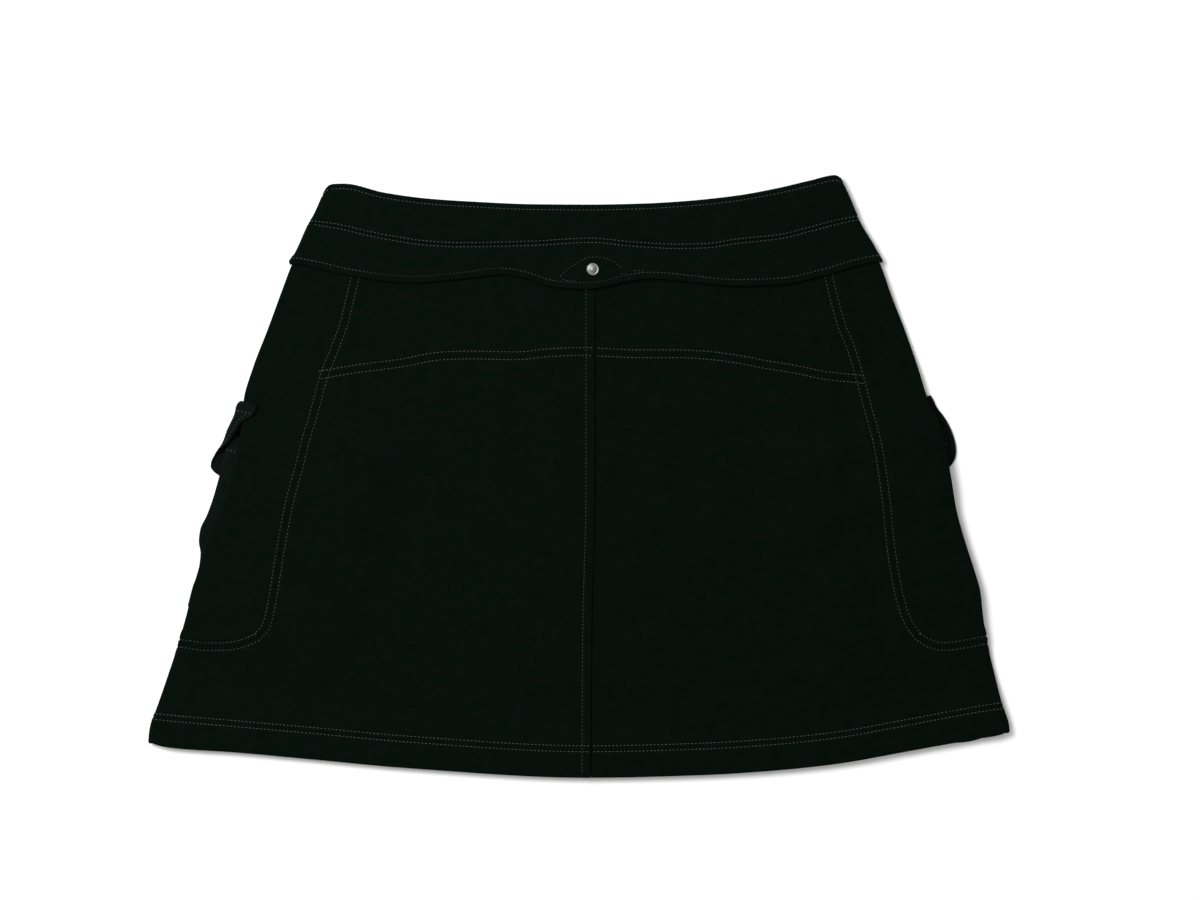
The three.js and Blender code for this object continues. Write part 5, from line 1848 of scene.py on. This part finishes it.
def ramp(value: Socket, low: Colour, high: Colour, start: float = 0.0, end: float = 1.0) -> Socket:
    """Colour that goes from a low to a high one as a value rises from start to end."""
    node = add_node(value.id_data, "ValToRGB", {"Fac": value})
    for element, colour, place in zip(node.color_ramp.elements, (low, high), (start, end)):
        element.position, element.color = place, (*colour, 1)
    return node.outputs["Color"]


def bumped(height: Socket, strength: float, distance: float) -> Socket:
    """Direction out of a face with fine relief."""
    inputs = {"Height": height, "Strength": strength, "Distance": distance}
    return add_node(height.id_data, "Bump", inputs).outputs["Normal"]


def new_material(name: str, inputs: dict[str | int, Input]) -> tuple[bpy.types.Material, bpy.types.Node]:
    """New material and its shader, with the shader's inputs set."""
    material = bpy.data.materials.new(name)
    material.use_nodes = True
    shader = material.node_tree.nodes["Principled BSDF"]
    feed(shader, inputs)
    return material, shader


def knit_group() -> bpy.types.NodeTree:
    """Node group of the double knit: fine wales and a soft grain, and slow unevenness of its shade."""
    tree = bpy.data.node_groups.new("double_knit", "ShaderNodeTree")
    sockets = tree.interface
    sockets.new_socket("Place", in_out="INPUT", socket_type="NodeSocketVector")
    for name, value in (("Wale Pitch", 0.0011), ("Unevenness", 0.2)):
        sockets.new_socket(name, in_out="INPUT", socket_type="NodeSocketFloat").default_value = value
    for name in ("Height", "Shade", "Fleck"):
        sockets.new_socket(name, in_out="OUTPUT", socket_type="NodeSocketFloat")
    start, end = tree.nodes.new("NodeGroupInput"), tree.nodes.new("NodeGroupOutput")
    place, pitch, unevenness = (start.outputs[name] for name in ("Place", "Wale Pitch", "Unevenness"))
    scale = arithmetic("DIVIDE", 0.314, pitch)
    wave = {"Vector": place, "Scale": scale, "Distortion": 2.2, "Detail": 2.0, "Detail Scale": 1.5}
    wales = add_node(tree, "TexWave", wave).outputs["Fac"]
    grain = noise(place, scale=1500.0, detail=2.0, roughness=0.6)
    height = add_node(tree, "Mix", {0: 0.5, 2: wales, 3: grain}, data_type="FLOAT").outputs[0]
    centred = arithmetic("SUBTRACT", noise(place, scale=42.0, detail=5.0, roughness=0.62), 0.5)
    shade = arithmetic("MULTIPLY_ADD", centred, unevenness, 1.0)
    streaks = add_node(tree, "Mapping", {"Vector": place, "Scale": (0.7, 1.0, 1.0)}).outputs["Vector"]
    patches = noise(streaks, scale=170.0, detail=3.0, roughness=0.6)
    span = {"Value": patches, "From Min": 0.35, "From Max": 0.7}
    fleck = add_node(tree, "MapRange", span).outputs["Result"]
    feed(end, {"Height": height, "Shade": shade, "Fleck": fleck})
    return tree


@dataclass(frozen=True)
class KnitFinish:
    """Near-black double knit with a faint green cast."""

    name: str = "black double knit"
    colour: Colour = (0.0005, 0.0031, 0.0016)
    fleck: Colour = (0.0018, 0.0031, 0.0026)
    roughness: float = 0.9
    specular: float = 0.022
    sheen: float = 0.002
    sheen_roughness: float = 0.5
    unevenness: float = 0.5
    bump: float = 0.35
    relief: float = 0.0003

    def material(self, group: bpy.types.NodeTree) -> bpy.types.Material:
        """Material on the piece's cloth map.

        Args:
            group: the knit's node group.

        Returns:
            The material.
        """
        material, shader = new_material(self.name, {
            "Roughness": self.roughness, "Specular IOR Level": self.specular,
            "Sheen Weight": self.sheen, "Sheen Roughness": self.sheen_roughness,
        })
        tree = material.node_tree
        flat = add_node(tree, "UVMap", uv_map="cloth").outputs["UV"]
        knit = add_node(tree, "Group", {"Unevenness": self.unevenness, "Place": flat}, node_tree=group)
        flecked = mixed(knit.outputs["Fleck"], (*self.colour, 1), (*self.fleck, 1), tree)
        shaded = mixed(1.0, flecked, knit.outputs["Shade"], tree, "MULTIPLY")
        feed(shader, {"Base Color": shaded, "Normal": bumped(knit.outputs["Height"], self.bump, self.relief)})
        return material


@dataclass(frozen=True)
class ThreadFinish:
    """Topstitching thread, with a twist and a slow change of shade."""

    name: str = "grey thread"
    colour: Colour = (0.058, 0.067, 0.068)
    dark: Colour = (0.032, 0.037, 0.039)

    def material(self) -> bpy.types.Material:
        """Material that follows each stitch's tone, which dims the thread as painted shade."""
        material, shader = new_material(self.name, {"Roughness": 0.7, "Specular IOR Level": 0.3})
        tree = material.node_tree
        place = object_place(tree)
        # Tone below 1 darkens the thread: painted shade
        tone = add_node(tree, "Attribute", attribute_name="tone").outputs["Fac"]
        shade = ramp(noise(place, scale=150.0, detail=3.0), self.dark, self.colour, start=0.35, end=0.62)
        twist = bumped(noise(place, scale=4200.0, detail=1.0), strength=0.4, distance=0.0001)
        feed(shader, {"Base Color": mixed(1.0, shade, tone, tree, "MULTIPLY"), "Normal": twist})
        return material


@dataclass(frozen=True)
class CapFinish:
    """Worn silver metal."""

    name: str = "silver cap"
    colour: Colour = (0.34, 0.35, 0.35)
    worn: Colour = (0.17, 0.175, 0.175)
    # Near-black colour painted into the notches as their shade
    notch_shade: Colour = (0.012, 0.011, 0.012)

    def material(self) -> bpy.types.Material:
        """Metal with fine scratches and duller patches, with painted shade in its notches."""
        material, shader = new_material(self.name, {"Metallic": 1.0})
        tree = material.node_tree
        wear = noise(object_place(tree), scale=900.0, detail=4.0, roughness=0.65)
        # Notch faces, which get the painted shade
        hollow = add_node(tree, "Attribute", attribute_name="hollow").outputs["Fac"]
        metal = ramp(wear, self.worn, self.colour, start=0.3, end=0.7)
        colour = mixed(hollow, metal, (*self.notch_shade, 1), tree)
        rough = add_node(tree, "MapRange", {"Value": wear, "To Min": 0.3, "To Max": 0.52}).outputs["Result"]
        scratches = bumped(wear, strength=0.15, distance=0.0001)
        feed(shader, {"Base Color": colour, "Roughness": rough, "Normal": scratches})
        return material


BLACK_KNIT = KnitFinish()
# Paler copy of the knit, for the pocket bags and flaps
PALER_POCKET_KNIT = KnitFinish("paler double knit of the pockets", (0.0018, 0.0043, 0.0029), (0.0036, 0.0048, 0.0045))
GREY_THREAD = ThreadFinish()
BLUE_THREAD = ThreadFinish("dusty blue thread", (0.056, 0.059, 0.073), (0.032, 0.033, 0.042))


@dataclass
class Studio:
    """Camera straight above, a pale floor, and soft light that comes mostly from the left."""

    centre: tuple[float, float] = (0.01535, 0.01974)
    frame_width: float = 0.894
    camera_height: float = 3.0
    sensor: float = 36.0
    floor_size: float = 12.0
    floor_drop: float = 0.15
    floor_colour: Colour = (0.9, 0.9, 0.9)
    floor_shade: Colour = (0.8865, 0.8865, 0.8865)
    world_strength: float = 0.62
    key_power: float = 100.0
    key_size: float = 1.5
    key_place: tuple[float, float, float] = (-1.6, 1.1, 2.1)

    def build(self) -> None:
        """Set up the floor, the lights and the camera."""
        self.floor()
        self.lights()
        self.camera()

    def floor(self) -> None:
        """Pale floor, just below what rests on it."""
        half = self.floor_size / 2 / MM
        signs = ((-1, -1), (1, -1), (1, 1), (-1, 1))
        corners = np.array([[half * i, half * j, -self.floor_drop] for i, j in signs])
        plane = mesh_object("studio_floor", corners, np.array([[0, 1, 2, 3]]))
        material, shader = new_material("pale floor", {"Roughness": 0.9, "Specular IOR Level": 0.1})
        grain = noise(object_place(material.node_tree), scale=3.0, detail=2.0)
        feed(shader, {"Base Color": ramp(grain, self.floor_shade, self.floor_colour)})
        plane.data.materials.append(material)

    def lights(self) -> None:
        """Even light from all round, and a large soft light from the left."""
        world = bpy.data.worlds.new("studio")
        bpy.context.scene.world = world
        world.use_nodes = True
        background = world.node_tree.nodes["Background"]
        background.inputs["Color"].default_value = (1.0, 1.0, 1.0, 1)
        background.inputs["Strength"].default_value = self.world_strength
        lamp = bpy.data.lights.new("key", "AREA")
        lamp.energy, lamp.shape, lamp.size = self.key_power, "SQUARE", self.key_size
        key = bpy.data.objects.new("key", lamp)
        key.location = self.key_place
        aim = Vector((*self.centre, 0)) - key.location
        key.rotation_euler = aim.to_track_quat("-Z", "Y").to_euler()
        bpy.context.scene.collection.objects.link(key)

    def camera(self) -> None:
        """Camera that looks straight down."""
        data = bpy.data.cameras.new("camera")
        data.sensor_width = self.sensor
        data.lens = self.sensor * self.camera_height / self.frame_width
        camera = bpy.data.objects.new("camera", data)
        camera.location = (*self.centre, self.camera_height)
        bpy.context.scene.collection.objects.link(camera)
        bpy.context.scene.camera = camera
        bpy.context.scene.view_settings.view_transform = "Standard"


def main() -> None:
    """Build the skirt, dress it and light it."""
    logging.basicConfig(level=logging.INFO, format="%(name)s: %(message)s")
    Studio().build()
    shop = Workshop()
    knit = knit_group()
    cloth, paler_pocket_cloth = BLACK_KNIT.material(knit), PALER_POCKET_KNIT.material(knit)
    grey_thread, blue_thread = GREY_THREAD.material(), BLUE_THREAD.material()
    panels = BodyPanels()
    panels.build(shop, cloth)
    bands = Bands(panels.halves)
    bands.build(shop, cloth)
    build_pockets(shop, panels.halves, paler_pocket_cloth)
    shop.finish(RivetCap(bands).build(), CapFinish().material(), Slot.RIVET, ["rivet"])
    stitching = Stitching(panels, bands)
    stitching.thread.model()
    stitching.body_rows(shop, grey_thread)
    stitching.band_rows(shop, blue_thread)
    stitching.pocket_rows(shop, grey_thread)
    log.info("%d pieces finished", shop.count)


if __name__ == "__main__":
    main()
